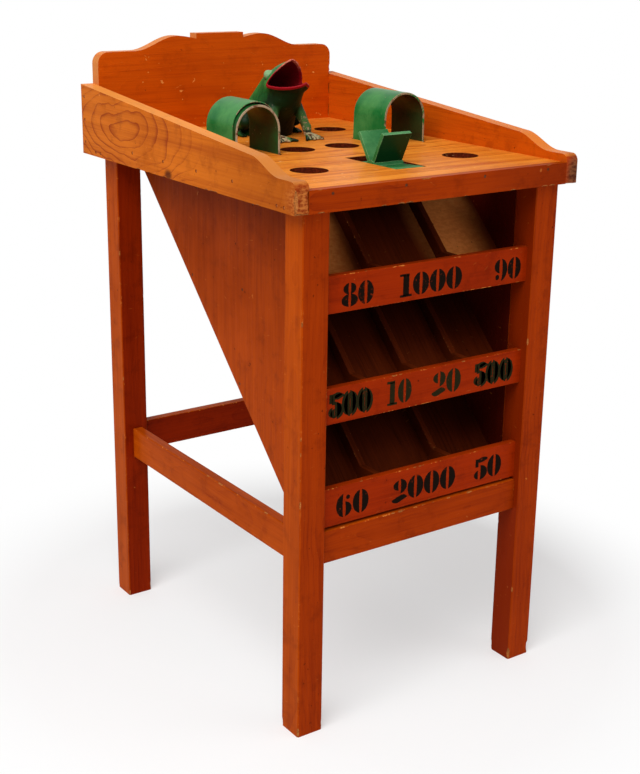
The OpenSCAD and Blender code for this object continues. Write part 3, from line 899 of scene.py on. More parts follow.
@dataclass(frozen=True)
class Chip:
    """A bite out of an edge, or a nail's dent, cut from a board."""

    centre: Point
    size: Point
    dent: bool = False

    def cutter(self, chipped: Material, dented: Material) -> Piece:
        """Makes the rough lump that cuts the chip.

        Args:
            chipped: The finish inside a chip.
            dented: The finish inside a dent.

        Returns:
            The cutter.
        """
        lump = Bench.add("ico_sphere", subdivisions=2, radius=1.0)
        rough = 0.08 if self.dent else 0.3
        for vertex in lump.data.vertices:
            swell = 1.0 + rough * noise.noise(vertex.co * 2.1 + Vector(self.centre) * 300)
            vertex.co = Vector(c + s * k * swell for c, s, k in zip(self.centre, self.size, vertex.co))
        Bench.paint(lump, dented if self.dent else chipped)
        return lump


def edge_chips(start: Vector, end: Vector, count: int, size: float, seed: int) -> tuple[Chip, ...]:
    """Places small chips along an edge.

    Args:
        start: One end of the edge.
        end: The other end.
        count: How many chips there are.
        size: The size of a middling chip, in millimetres.
        seed: Settles their places.

    Returns:
        The chips.
    """
    draw = random.Random(seed)
    along = (end - start).normalized()
    chips = []
    for _ in range(count):
        radius = size * MM * draw.uniform(0.5, 1.3)
        spot = start.lerp(end, draw.random())
        chips.append(Chip(tuple(spot), tuple(radius * (1.0 + 2.2 * abs(part)) for part in along)))
    return tuple(chips)


@dataclass
class Board:
    """A wooden piece: the node's shape with rounded edges, chips and dents."""

    node: str
    finish: Varnish
    slot: str
    round_over: float
    chips: tuple[Chip, ...] = ()

    def build(self, nodes: Nodes, shades: tuple[Material, Material]) -> Piece:
        """Makes the board and lets it stand for its node.

        Args:
            nodes: The frame's nodes.
            shades: The finish inside a chip and inside a dent.

        Returns:
            The board.
        """
        board = Bench.copy(nodes[self.node], "worn_" + self.node)
        Bench.paint(board, self.finish.build(), self.finish.build(edge=True))
        Bench.soften(board, self.round_over * MM, 40, material=1)
        for chip in self.chips:
            Bench.cut(board, chip.cutter(*shades))
        Bench.smooth(board)
        return Bench.settle(board, CABINET, self.slot, self.node)


@dataclass
class SheetArch:
    """A metal sheet bent into an arch, with uneven faces and a worn rim."""

    node: str
    finish: Enamel
    wall: float
    seed: float
    inside: Enamel | None = None
    unevenness: float = 0.5 * MM
    rim: float = 0.8 * MM
    even_foot: float = 25 * MM
    fade: float = 30 * MM

    def build(self) -> Piece:
        """Makes the arch and lets it stand for its node.

        Returns:
            The arch.
        """
        low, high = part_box(self.node)
        middle = (low.x + high.x) / 2
        radius = (high.x - low.x) / 2
        leg = high.z - radius - low.z
        whole = 2 * leg + math.pi * radius
        keep = self.unevenness + 0.1 * MM

        def shape(u: float, v: float) -> Vector:
            """Returns the place of u and v."""
            run = u * whole
            y = low.y + (high.y - low.y) * v
            free = rise(min(run, whole - run), self.even_foot, self.even_foot + self.fade)
            dip = self.unevenness * noise.noise(Vector((run * 22, y * 30, self.seed)))
            reach = radius - (keep - dip) * free
            if leg <= run <= whole - leg:
                turn = math.pi * (1.0 - (run - leg) / (whole - 2 * leg))
                return Vector((middle + math.cos(turn) * reach, y, high.z - radius + math.sin(turn) * reach))
            side = -1.0 if run < leg else 1.0
            return Vector((middle + side * reach, y, low.z + min(run, whole - run)))

        arch = Bench.sheet("bent_" + self.node, (96, 20), shape)
        Bench.turn_outwards(arch)
        finishes = [self.finish.build(), self.finish.build(edge=True)]
        if self.inside is not None:
            finishes.append(self.inside.build())
        Bench.paint(arch, *finishes)
        self._thicken(arch)
        Bench.soften(arch, min(self.rim, self.wall * 0.35), 60, material=1)
        Bench.smooth(arch)
        return Bench.settle(arch, CABINET, "arch_paint", self.node)

    def _thicken(self, arch: Piece) -> None:
        """Gives the sheet its wall, inwards, with the worn finish on the rim.

        Args:
            arch: The thin sheet.
        """
        centre = sum((v.co for v in arch.data.vertices), Vector()) / len(arch.data.vertices)
        top = max(arch.data.polygons, key=lambda face: face.center.z)
        outward = top.normal.dot(top.center - centre) > 0
        Bench.modify(
            arch, "SOLIDIFY", thickness=self.wall, offset=-1.0 if outward else 1.0, use_even_offset=True,
            material_offset_rim=1, material_offset=2 if self.inside else 0, use_flip_normals=not outward,
        )


@dataclass
class PaddleWheel:
    """The cast wheel: its hub and vanes with rounded, worn edges, whose pale wear also stands for painted
    highlights.
    """

    finish: Enamel
    rest_turn: float = math.radians(-7.0)
    round_over: float = 0.9 * MM

    def build(self, nodes: Nodes) -> Piece:
        """Makes the wheel, come to rest at its own angle, and lets it stand for its node.

        Args:
            nodes: The frame's nodes.

        Returns:
            The wheel.
        """
        wheel = Bench.copy(nodes["paddle_wheel"], "cast_paddle_wheel")
        axle = sum(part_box("wheel_axle"), Vector()) / 2
        turn = Matrix.Rotation(self.rest_turn, 4, "X")
        wheel.data.transform(Matrix.Translation(axle) @ turn @ Matrix.Translation(-axle))
        Bench.paint(wheel, self.finish.build(), self.finish.build(edge=True))
        Bench.soften(wheel, self.round_over, 50, material=1)
        Bench.smooth(wheel)
        return Bench.settle(wheel, WHEEL, "wheel_paint", "paddle_wheel")


Station = tuple[tuple[float, float], Point, tuple[float, float]]


@dataclass
class Frog:
    """The cast frog: a seated body with its mouth open over the hole in the board.

    Its own lengths are in millimetres from origin. A station has the front's y and z, the side's x, y and z
    and the back's y and z.
    """

    MASKS = ("lip", "inside", "eye", "limb", "upper", "crease", "shade")

    origin: Vector
    skin: tuple[Station, ...] = (
        ((-38, 0), (42, 3, 0), (56, 0)),
        ((-41, 14), (44, 0, 14), (57, 14)),
        ((-54, 34), (41, -10, 36), (49, 40)),
        ((-74, 52), (36, -24, 56), (35, 62)),
        ((-87, 67), (31, -37, 71), (18, 84)),
        ((-97, 80), (31.5, -42, 80), (-2, 102)),
        ((-107.5, 88.5), (34, -46, 84.5), (-36, 118.5)),
        ((-114, 94.5), (34.8, -46.8, 88.2), (-71.6, 129.7)),
    )
    throat: tuple[Station, ...] = (
        ((-26, -6), (26, 0, -6), (26, -6)),
        ((-26, 0), (26, 0, 0), (26, 0)),
        ((-38, 20), (28, -3, 22), (30, 26)),
        ((-60, 48), (27, -20, 52), (25, 58)),
        ((-76, 70), (26, -35, 72), (6, 85)),
        ((-96, 88), (28.5, -42, 82), (-36, 110)),
        ((-109, 95.5), (32.6, -47, 88), (-70.5, 126.5)),
        ((-113, 105), (34, -52, 95), (-78, 128)),
    )
    skin_tips: tuple[Point, Point] = ((0, 4, 0), (0, -78, 103))
    throat_tips: tuple[Point, Point] = ((0, 0, -10), (0, -93, 126))
    pointed: float = 0.37
    sag: float = 6.4
    lip: float = 2.1
    grain: float = 1.25
    second_grain: float = 1.25 * 0.93
    screw_spots: tuple[tuple[float, float], ...] = ((27, -86), (54, 8))
    pad: float = 6.0
    pad_height: float = 6.0
    room: float = 4.3
    room_height: float = 8.0

    def _at(self, x: float, y: float, z: float) -> Vector:
        """Returns a point of the frog in the shared frame."""
        return self.origin + MM * Vector((x, y, z))

    @staticmethod
    def _between(stations: Sequence[Station], t: float, part: int) -> Vector:
        """Follows one line through the stations.

        Args:
            stations: The stations.
            t: The place among them, with 0 at the first.
            part: The line: 0 is the front, 1 the side and 2 the back.

        Returns:
            The smooth curve's value at t.
        """
        last = len(stations) - 1
        i = min(int(t), last - 1)
        u = t - i
        a, b, c, d = (Vector(stations[min(max(k, 0), last)][part]) for k in range(i - 1, i + 3))
        square, cube = 2 * a - 5 * b + 4 * c - d, 3 * b - a - 3 * c + d
        return 0.5 * (2 * b + (c - a) * u + square * u * u + cube * u * u * u)

    def _ring_point(self, stations: Sequence[Station], t: float, turn: float) -> Vector:
        """Finds a point of the body.

        Args:
            stations: The stations of the skin or the throat.
            t: The ring's place among them.
            turn: The angle from the front.

        Returns:
            The point in the shared frame.
        """
        front, side, back = (self._between(stations, t, part) for part in range(3))
        power = 1.0 + self.pointed * rise(t, 3.0, 6.0)
        share = abs(math.cos(turn)) ** power
        end = front if math.cos(turn) > 0 else back
        y = side.y + share * (end.x - side.y)
        z = side.z + share * (end.y - side.z)
        if math.cos(turn) > 0:
            z -= self.sag * abs(math.sin(2 * turn)) * rise(t, 4.0, 6.0)
        return self._at(side.x * math.copysign(abs(math.sin(turn)) ** power, math.sin(turn)), y, z)

    def _loft(self, name: str, stations: Sequence[Station], tips: tuple[Point, Point]) -> Piece:
        """Makes a closed body.

        Args:
            name: Its name.
            stations: The stations that it goes through.
            tips: The point that closes each end.

        Returns:
            The body.
        """
        last = len(stations) - 1
        rows = 56

        def shape(u: float, v: float) -> Vector:
            """Returns the place of u and v."""
            row = round(v * rows)
            if row in (0, rows):
                return self._at(*tips[row // rows])
            return self._ring_point(stations, (row - 1) / (rows - 2) * last, math.tau * u)

        return Bench.sheet(name, (56, rows), shape, closed=True)

    def _limbs(self, side: int) -> list[Piece]:
        """Makes one side's limbs, eye and foot pads, from the x, y, z and radius of each bone's ends.

        Args:
            side: -1 for the left side, 1 for the right.

        Returns:
            The parts.
        """
        bones = [
            ((19, -46, 64, 9.5), (27, -57, 38, 9.0)),
            ((27, -57, 38, 9.2), (34, -64, 18, 7.4)),
            ((34, -64.5, 17.5, 8.3), (34.3, -65.2, 14.5, 7.9)),
            ((34, -67, 8, 6.2), (34, -78, 5, 4.6)),
            ((42, 30, 30, 20), (50, -8, 25, 12)),
            ((50, -8, 20, 8), (48, 34, 8, 8)),
            ((48, 34, 6, 6), (56, -4, 4, 4)),
            ((54, 0, 4, 4), (54, 12, 4, 4)),
            *(((34, -69, 7, 5.0), (x, -102.5, 2.6, 2.6)) for x in (9, 25, 41)),
            *(((34, -70, 4, 3.2), (x, -97, 1.7, 1.7)) for x in (13, 17, 21, 29, 33, 37)),
            *(((56, -2, 4, 4.2), (x, -14, 2.4, 2.3)) for x in (52, 58)),
            ((20, -31, 102, 8.4), (22, -34, 102.5, 7.6)),
        ]
        parts = []
        for bone in bones:
            (start, first), (end, last) = ((self._at(side * x, y, z), r * MM) for x, y, z, r in bone)
            parts.append(Bench.limb(start, first, end, last))
        return parts + [self._pad(side * x, y, 0.0, self.pad, self.pad_height) for x, y in self.screw_spots]

    def _pad(self, x: float, y: float, low: float, radius: float, high: float) -> Piece:
        """Makes a round pad under a screw's head, or a cutter for the room over it."""
        size = {"radius": radius * MM, "depth": (high - low) * MM}
        return Bench.add("cylinder", vertices=32, location=self._at(x, y, (low + high) / 2), **size)

    def _rim(self, count: int) -> list[Vector]:
        """Finds points along the middle of the lips.

        Args:
            count: How many points there are.

        Returns:
            The points.
        """
        turns = [math.tau * k / count for k in range(count)]
        outer, inner = len(self.skin) - 1, len(self.throat) - 2
        ends = ((self._ring_point(self.skin, outer, t), self._ring_point(self.throat, inner, t)) for t in turns)
        return [(skin + throat) / 2 for skin, throat in ends]

    def _lips(self) -> Piece:
        """Makes the rolled lips round the mouth.

        Returns:
            The lips.
        """
        count = 72
        rim = self._rim(count)

        def shape(u: float, v: float) -> Vector:
            """Returns the place of u and v."""
            k = round(v * count) % count
            along = (rim[(k + 1) % count] - rim[k - 1]).normalized()
            side = along.orthogonal().normalized()
            other = along.cross(side)
            turn = math.tau * u
            return rim[k] + self.lip * MM * (side * math.cos(turn) + other * math.sin(turn))

        lips = Bench.sheet("lips", (12, count), shape)
        with Bench.shaping(lips):
            bpy.ops.mesh.remove_doubles(threshold=MERGE)
            bpy.ops.mesh.normals_make_consistent(inside=False)
        return lips

    def build(self) -> Piece:
        """Makes the frog and lets it stand for its node.

        Returns:
            The frog.
        """
        throat = self._loft("throat", self.throat, self.throat_tips)
        spots = [vertex.co.copy() for vertex in throat.data.vertices]
        tree = BVHTree.FromPolygons(spots, [tuple(face.vertices) for face in throat.data.polygons])
        body = self._loft("body", self.skin, self.skin_tips)
        frog = Bench.join([body, self._lips(), *self._limbs(-1), *self._limbs(1)], "cast_frog")
        Bench.modify(frog, "REMESH", mode="VOXEL", voxel_size=self.grain * MM, use_smooth_shade=True)
        low, high = self.pad_height, self.pad_height + self.room_height
        places = [(side * x, y) for side in (-1, 1) for x, y in self.screw_spots]
        rooms = [self._pad(x, y, low, self.room, high) for x, y in places]
        Bench.cut(frog, Bench.join([throat, *rooms], "hollow"))
        Bench.modify(frog, "REMESH", mode="VOXEL", voxel_size=self.second_grain * MM, use_smooth_shade=True)
        Bench.modify(frog, "SMOOTH", factor=0.5, iterations=4)
        self._cast_skin(frog)
        self._store_masks(frog, tree)
        Bench.paint(frog, FrogPaint().build())
        Bench.pick(frog)
        bpy.ops.object.shade_smooth()
        return Bench.settle(frog, CABINET, "frog_paint", "frog")

    def _cast_skin(self, frog: Piece) -> None:
        """Roughens the casting, and keeps its feet on the board and its screws' seats flat.

        Args:
            frog: The frog.
        """
        normals = [vertex.normal.copy() for vertex in frog.data.vertices]
        for vertex, normal in zip(frog.data.vertices, normals):
            bump = noise.noise(vertex.co * 160) * 0.25 + noise.noise(vertex.co * 55) * 0.35
            local = (vertex.co - self.origin) / MM
            if min(math.hypot(abs(local.x) - x, local.y - y) for x, y in self.screw_spots) > self.pad + 0.5:
                vertex.co = vertex.co + normal * (bump - 0.25) * MM
            vertex.co.z = max(vertex.co.z, self.origin.z)

    def _store_masks(self, frog: Piece, throat: BVHTree) -> None:
        """Stores where the paint changes, and where painted shade and the lip's painted highlight go.

        Args:
            frog: The frog.
            throat: The throat's surface.
        """
        count = 720
        rim = KDTree(count)
        for index, point in enumerate(self._rim(count)):
            rim.insert(point, index)
        rim.balance()
        rows = []
        for vertex in frog.data.vertices:
            local = (vertex.co - self.origin) / MM
            side = abs(local.x)
            reach = rim.find(vertex.co)[2] / MM
            inward = throat.find_nearest(vertex.co)[3] / MM < 1.1 and reach > 3.0
            eye = (Vector((side, local.y, local.z)) - Vector((22.5, -33.5, 104))).length
            leg = rise(side, 17, 23) * rise(-local.y, 52, 58) * (1.0 - rise(local.z, 34, 56))
            foot = 1.9 - 0.9 * rise(local.z, 9, 15)
            # Where shade is painted under the belly; kept as the shade mask.
            under = (1.0 - rise(side, 30, 38)) * rise(-local.y, 0, 25) * (1.0 - rise(local.z, 26, 44))
            # Painted shade in creases: the ankle line, the eye's slit and between the toes.
            ankle = abs(local.z - 11.5) < 1.6 and math.hypot(side - 34, local.y + 66) < 11
            slit = not inward and abs(eye - 9.9) < 0.9 and local.y > -38 and 92 < local.z < 107
            fan = math.atan2(side - 34, -66 - local.y)
            webbed = local.z < 7 and local.y < -74 and abs(((fan + 0.35) / 0.27) % 1.0 - 0.5) > 0.38
            rows.append((
                1.0 - rise(reach, 3.2, 4.0),
                1.0 if inward else 0.0,
                1.0 - rise(eye, 7.6, 9.6),
                leg * foot,
                rise(local.z, 106, 122),
                1.0 if ankle or slit or webbed else 0.0,
                under * (1.0 - rise(-local.y, 62, 68)),
            ))
        for name, numbers in zip(self.MASKS, zip(*rows)):
            stored = frog.data.attributes.new(name, "FLOAT", "POINT")
            stored.data.foreach_set("value", numbers)


class Mark(Enum):
    """The shape of one part of a stencilled number."""

    LEFT = "a crescent that bulges to the left"
    RIGHT = "a crescent that bulges to the right"
    BAR = "an upright bar"
    BALL = "a ball"
    WAVE = "a lying wave"


@dataclass(frozen=True)
class Stroke:
    """One part of a stencilled number, in heights of the number; rx and ry are its half width and height."""

    mark: Mark
    x: float
    y: float
    rx: float
    ry: float
    lean: float = 0.0
    slit: float = 0.025

    def place(self, u: float, v: float) -> tuple[float, float]:
        """Finds a point of the stroke.

        Args:
            u: The share of the way across it.
            v: The share of the way along it.

        Returns:
            The point's x and y.
        """
        if self.mark in (Mark.LEFT, Mark.RIGHT):
            side = -1 if self.mark is Mark.LEFT else 1
            turn = math.radians(-82 + 164 * v)
            inner = self.slit + self.lean * math.cos(turn)
            outer = max(self.rx * math.cos(turn), inner + 0.004)
            return self.x + side * (inner + (outer - inner) * u), self.y + self.ry * math.sin(turn)
        if self.mark is Mark.BALL:
            turn = math.tau * v
            return self.x + self.rx * u * math.cos(turn), self.y + self.ry * u * math.sin(turn)
        if self.mark is Mark.WAVE:
            height = self.lean * math.sin(math.pi * (v - 0.5) * 1.6)
            half = self.ry * math.sin(math.pi * (0.04 + 0.92 * v)) ** 0.7
            return self.x + self.rx * (2 * v - 1), self.y + height + half * (2 * u - 1)
        return self.x + self.rx * (2 * u - 1), self.y + self.ry * (2 * v - 1)


GLYPHS = {
    "0": (0.58, Stroke(Mark.LEFT, 0, 0, 0.28, 0.5, 0.025), Stroke(Mark.RIGHT, 0, 0, 0.28, 0.5, 0.025)),
    "1": (
        0.44, Stroke(Mark.BAR, 0, 0, 0.1, 0.44), Stroke(Mark.BAR, 0, -0.45, 0.2, 0.05),
        Stroke(Mark.BAR, -0.06, 0.45, 0.16, 0.05),
    ),
    "2": (
        0.54, Stroke(Mark.LEFT, 0, 0.22, 0.22, 0.22, 0.02), Stroke(Mark.RIGHT, 0, 0.17, 0.25, 0.32, 0.02),
        Stroke(Mark.WAVE, 0, -0.37, 0.26, 0.14, 0.05),
    ),
    "5": (
        0.52, Stroke(Mark.BAR, -0.15, 0.28, 0.06, 0.18), Stroke(Mark.WAVE, 0.05, 0.4, 0.22, 0.11, 0.02),
        Stroke(Mark.RIGHT, -0.04, -0.17, 0.31, 0.33, 0.02), Stroke(Mark.LEFT, -0.06, -0.26, 0.19, 0.2, 0.01),
    ),
    "6": (
        0.58, Stroke(Mark.LEFT, 0, 0, 0.28, 0.5, 0.025), Stroke(Mark.RIGHT, 0, -0.17, 0.26, 0.32, 0.03),
        Stroke(Mark.BALL, 0.13, 0.32, 0.07, 0.09),
    ),
    "8": (
        0.58, Stroke(Mark.LEFT, 0, 0.26, 0.23, 0.24, 0.02), Stroke(Mark.RIGHT, 0, 0.26, 0.23, 0.24, 0.02),
        Stroke(Mark.LEFT, 0, -0.24, 0.29, 0.27, 0.02), Stroke(Mark.RIGHT, 0, -0.24, 0.29, 0.27, 0.02),
    ),
    "9": (
        0.58, Stroke(Mark.RIGHT, 0, 0, 0.28, 0.5, 0.05), Stroke(Mark.LEFT, 0, 0.17, 0.26, 0.32, 0.03),
        Stroke(Mark.BALL, -0.13, -0.32, 0.08, 0.12),
    ),
}


@dataclass
class Numbers:
    """The stencilled numbers of one board, as a film of paint on its front.

    The words are the number, its left and its right side. They and the height's low and high are in
    millimetres.
    """

    node: str
    finish: Stencil
    words: tuple[tuple[str, float, float], ...]
    low: float
    high: float
    doubled: tuple[int, ...] = ()
    print_shift: Point = (4.0 * MM, 0.0, -2.2 * MM)
    film: float = 0.12 * MM
    sunk: float = 0.04 * MM
    ragged: float = 0.45 * MM

    def build(self) -> Piece:
        """Makes the board's numbers from one side to the other.

        Returns:
            The numbers.
        """
        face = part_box(self.node)[0].y
        strokes = []
        for index, word in enumerate(self.words):
            strokes += self._word(*word, Vector())
            if index in self.doubled:
                strokes += self._word(*word, Vector(self.print_shift))
        numbers = Bench.join(strokes, "stencil_" + self.node)
        for vertex in numbers.data.vertices:
            vertex.co.y = face - self.sunk
        Bench.modify(numbers, "SOLIDIFY", thickness=self.film, offset=1.0)
        Bench.turn_outwards(numbers)
        Bench.paint(numbers, self.finish.build())
        return Bench.settle(numbers, CABINET, "frame_varnish")

    def _word(self, word: str, left: float, right: float, shift: Vector) -> list[Piece]:
        """Makes one number.

        Args:
            word: Its figures.
            left: Its left side.
            right: Its right side.
            shift: Where it is printed, from its own place.

        Returns:
            Its strokes.
        """
        tall = (self.high - self.low) * MM
        wide = (right - left) * MM / sum(GLYPHS[figure][0] for figure in word)
        pen = left * MM
        made = []
        for figure in word:
            width, *strokes = GLYPHS[figure]
            middle = pen + width * wide / 2
            made += [self._stroke(stroke, middle, tall, wide, shift) for stroke in strokes]
            pen += width * wide
        return made

    def _stroke(self, stroke: Stroke, middle: float, tall: float, wide: float, shift: Vector) -> Piece:
        """Makes one stroke with the slightly ragged edge of stencilled paint.

        Args:
            stroke: The stroke.
            middle: The middle of its figure.
            tall: What one height stands for upwards.
            wide: What one height stands for sideways.
            shift: Where it is printed, from its own place.

        Returns:
            The stroke as a flat sheet.
        """

        def shape(u: float, v: float) -> Vector:
            """Returns the place of u and v."""
            x, z = stroke.place(u, v)
            spot = Vector((middle + x * wide, 0, self.low * MM + (z + 0.5) * tall)) + shift
            uneven = Vector((noise.noise(spot * 500), 0, noise.noise(spot * 480 + Vector((5, 5, 5)))))
            return spot + self.ragged * uneven

        return Bench.sheet("stroke", (3, 28), shape)


def corner(node: str, x: int, y: int, z: int) -> Vector:
    """Returns a corner of a node's box, with 0 for the lower side of an axis and 1 for the upper."""
    low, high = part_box(node)
    return Vector(((low.x, high.x)[x], (low.y, high.y)[y], (low.z, high.z)[z]))


def loose_boxes(node: Piece) -> list[tuple[Vector, Vector]]:
    """Measures the separate solids of a node.

    Args:
        node: The node.

    Returns:
        The lowest and highest corner of each solid.
    """
    piece = Bench.copy(node, "loose")
    with Bench.shaping(piece):
        bpy.ops.mesh.separate(type="LOOSE")
    boxes = []
    for part in list(bpy.context.selected_objects):
        spots = [vertex.co for vertex in part.data.vertices]
        boxes.append(tuple(Vector(pick(spot[k] for spot in spots) for k in range(3)) for pick in (min, max)))
        bpy.data.objects.remove(part)
    return sorted(boxes, key=lambda box: tuple(round(c, 5) for c in box[0]))


@dataclass
class Screws:
    """Slotted screws, one at each place of a node's screws."""

    node: str
    finish: Steel
    head: float = 3.75 * MM
    head_high: float = 2.4 * MM
    dome: float = 0.8 * MM
    first_turn: float = 0.7
    next_turn: float = 1.9
    slot_wide: float = 1.0 * MM
    slot_deep: float = 0.9 * MM
    shank: float = 1.7 * MM

    def build(self, nodes: Nodes, up: bool) -> Piece:
        """Makes the node's screws.

        Args:
            nodes: The frame's nodes.
            up: True where the heads look up.

        Returns:
            The screws.
        """
        screws = []
        for turn, (low, high) in enumerate(loose_boxes(nodes[self.node])):
            place = (low + high) / 2
            place.z = high.z - self.head_high if up else low.z + self.head_high
            screw = self._screw(high.z - low.z - self.head_high, self.first_turn + turn * self.next_turn)
            flip = Matrix.Rotation(0.0 if up else math.pi, 4, "X")
            screw.data.transform(Matrix.Translation(place) @ flip)
            screws.append(screw)
        joined = Bench.join(screws, "slotted_" + self.node)
        Bench.paint(joined, self.finish.build())
        Bench.smooth(joined)
        return Bench.settle(joined, CABINET, "dark_steel", self.node)

    def _screw(self, length: float, turn: float) -> Piece:
        """Makes one screw at the origin, with its head up.

        Args:
            length: The length of its shank.
            turn: The angle of its slot.

        Returns:
            The screw.
        """
        high = self.head_high
        head = Bench.add("cylinder", vertices=32, radius=self.head, depth=high, location=(0, 0, high / 2))
        Bench.soften(head, self.dome, 50)
        size = (self.head * 2.4, self.slot_wide, self.slot_deep * 2)
        Bench.cut(head, Bench.add("cube", size=1, location=(0, 0, high), rotation=(0, 0, turn), scale=size))
        middle = (0, 0, 0.01 * MM - length / 2)
        shank = Bench.add("cylinder", vertices=24, radius=self.shank, depth=length, location=middle)
        return Bench.join([head, shank], "screw")


@dataclass
class Nails:
    """Round nails whose dished heads sit a little under the face, each in its own dent.

    HEAD is the head's outline, as radius and depth in millimetres.
    """

    HEAD = ((0.0, 0.75), (0.9, 0.7), (1.4, 0.5), (1.7, 0.7), (1.7, 1.2), (1.3, 1.6))

    node: str
    finish: Steel
    along: Axis
    dent_deep: float = 0.8 * MM
    dent_wide: float = 2.6 * MM
    places: list[tuple[Vector, Vector, float]] = field(default_factory=list)

    def measure(self, nodes: Nodes) -> None:
        """Keeps each nail's outer end, its way inwards and its length.

        Args:
            nodes: The frame's nodes.
        """
        axis = self.along.value
        for low, high in loose_boxes(nodes[self.node]):
            outer = (low + high) / 2
            positive = self.along is Axis.X and outer.x > 0
            outer[axis] = high[axis] if positive else low[axis]
            inward = Vector()
            inward[axis] = -1.0 if positive else 1.0
            self.places.append((outer, inward, high[axis] - low[axis]))

    def dents(self, board: str) -> tuple[Chip, ...]:
        """Gives the dents that the nails make in a board.

        Args:
            board: The board's node.

        Returns:
            The dents.
        """
        low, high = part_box(board)
        slack = 0.2 * MM
        dents = []
        for outer, inward, _ in self.places:
            if all(a - slack <= c <= b + slack for a, c, b in zip(low, outer, high)):
                size = tuple(self.dent_deep if abs(part) > 0.5 else self.dent_wide for part in inward)
                dents.append(Chip(tuple(outer), size, dent=True))
        return tuple(dents)

    def build(self) -> Piece:
        """Makes the nails and lets them stand for their node.

        Returns:
            The nails.
        """
        nails = [self._nail(*place) for place in self.places]
        joined = Bench.join(nails, "driven_" + self.node)
        Bench.paint(joined, self.finish.build())
        Bench.smooth(joined)
        return Bench.settle(joined, CABINET, "dark_steel", self.node)

    @classmethod
    def _nail(cls, outer: Vector, inward: Vector, length: float) -> Piece:
        """Makes one nail.

        Args:
            outer: The middle of its head.
            inward: The way that it was driven.
            length: Its length.

        Returns:
            The nail.
        """
        profile = (*cls.HEAD, (cls.HEAD[-1][0], length / MM), (0.0, length / MM))
        side = inward.orthogonal().normalized()
        other = inward.cross(side)

        def shape(u: float, v: float) -> Vector:
            """Returns the place of u and v."""
            radius, down = profile[round(v * (len(profile) - 1))]
            turn = math.tau * u
            return outer + MM * (inward * down + radius * (side * math.cos(turn) + other * math.sin(turn)))

        return Bench.sheet("nail", (16, len(profile) - 1), shape, closed=True)


@dataclass
class MetalPart:
    """A small steel part with its edges rounded."""

    node: str
    finish: Steel
    body: str
    round_over: float = 0.5 * MM

    def build(self, nodes: Nodes) -> Piece:
        """Makes the part and lets it stand for its node.

        Args:
            nodes: The frame's nodes.

        Returns:
            The part.
        """
        part = Bench.copy(nodes[self.node], "milled_" + self.node)
        Bench.paint(part, self.finish.build())
        Bench.soften(part, self.round_over, 50, segments=2)
        Bench.smooth(part)
        return Bench.settle(part, self.body, "steel", self.node)


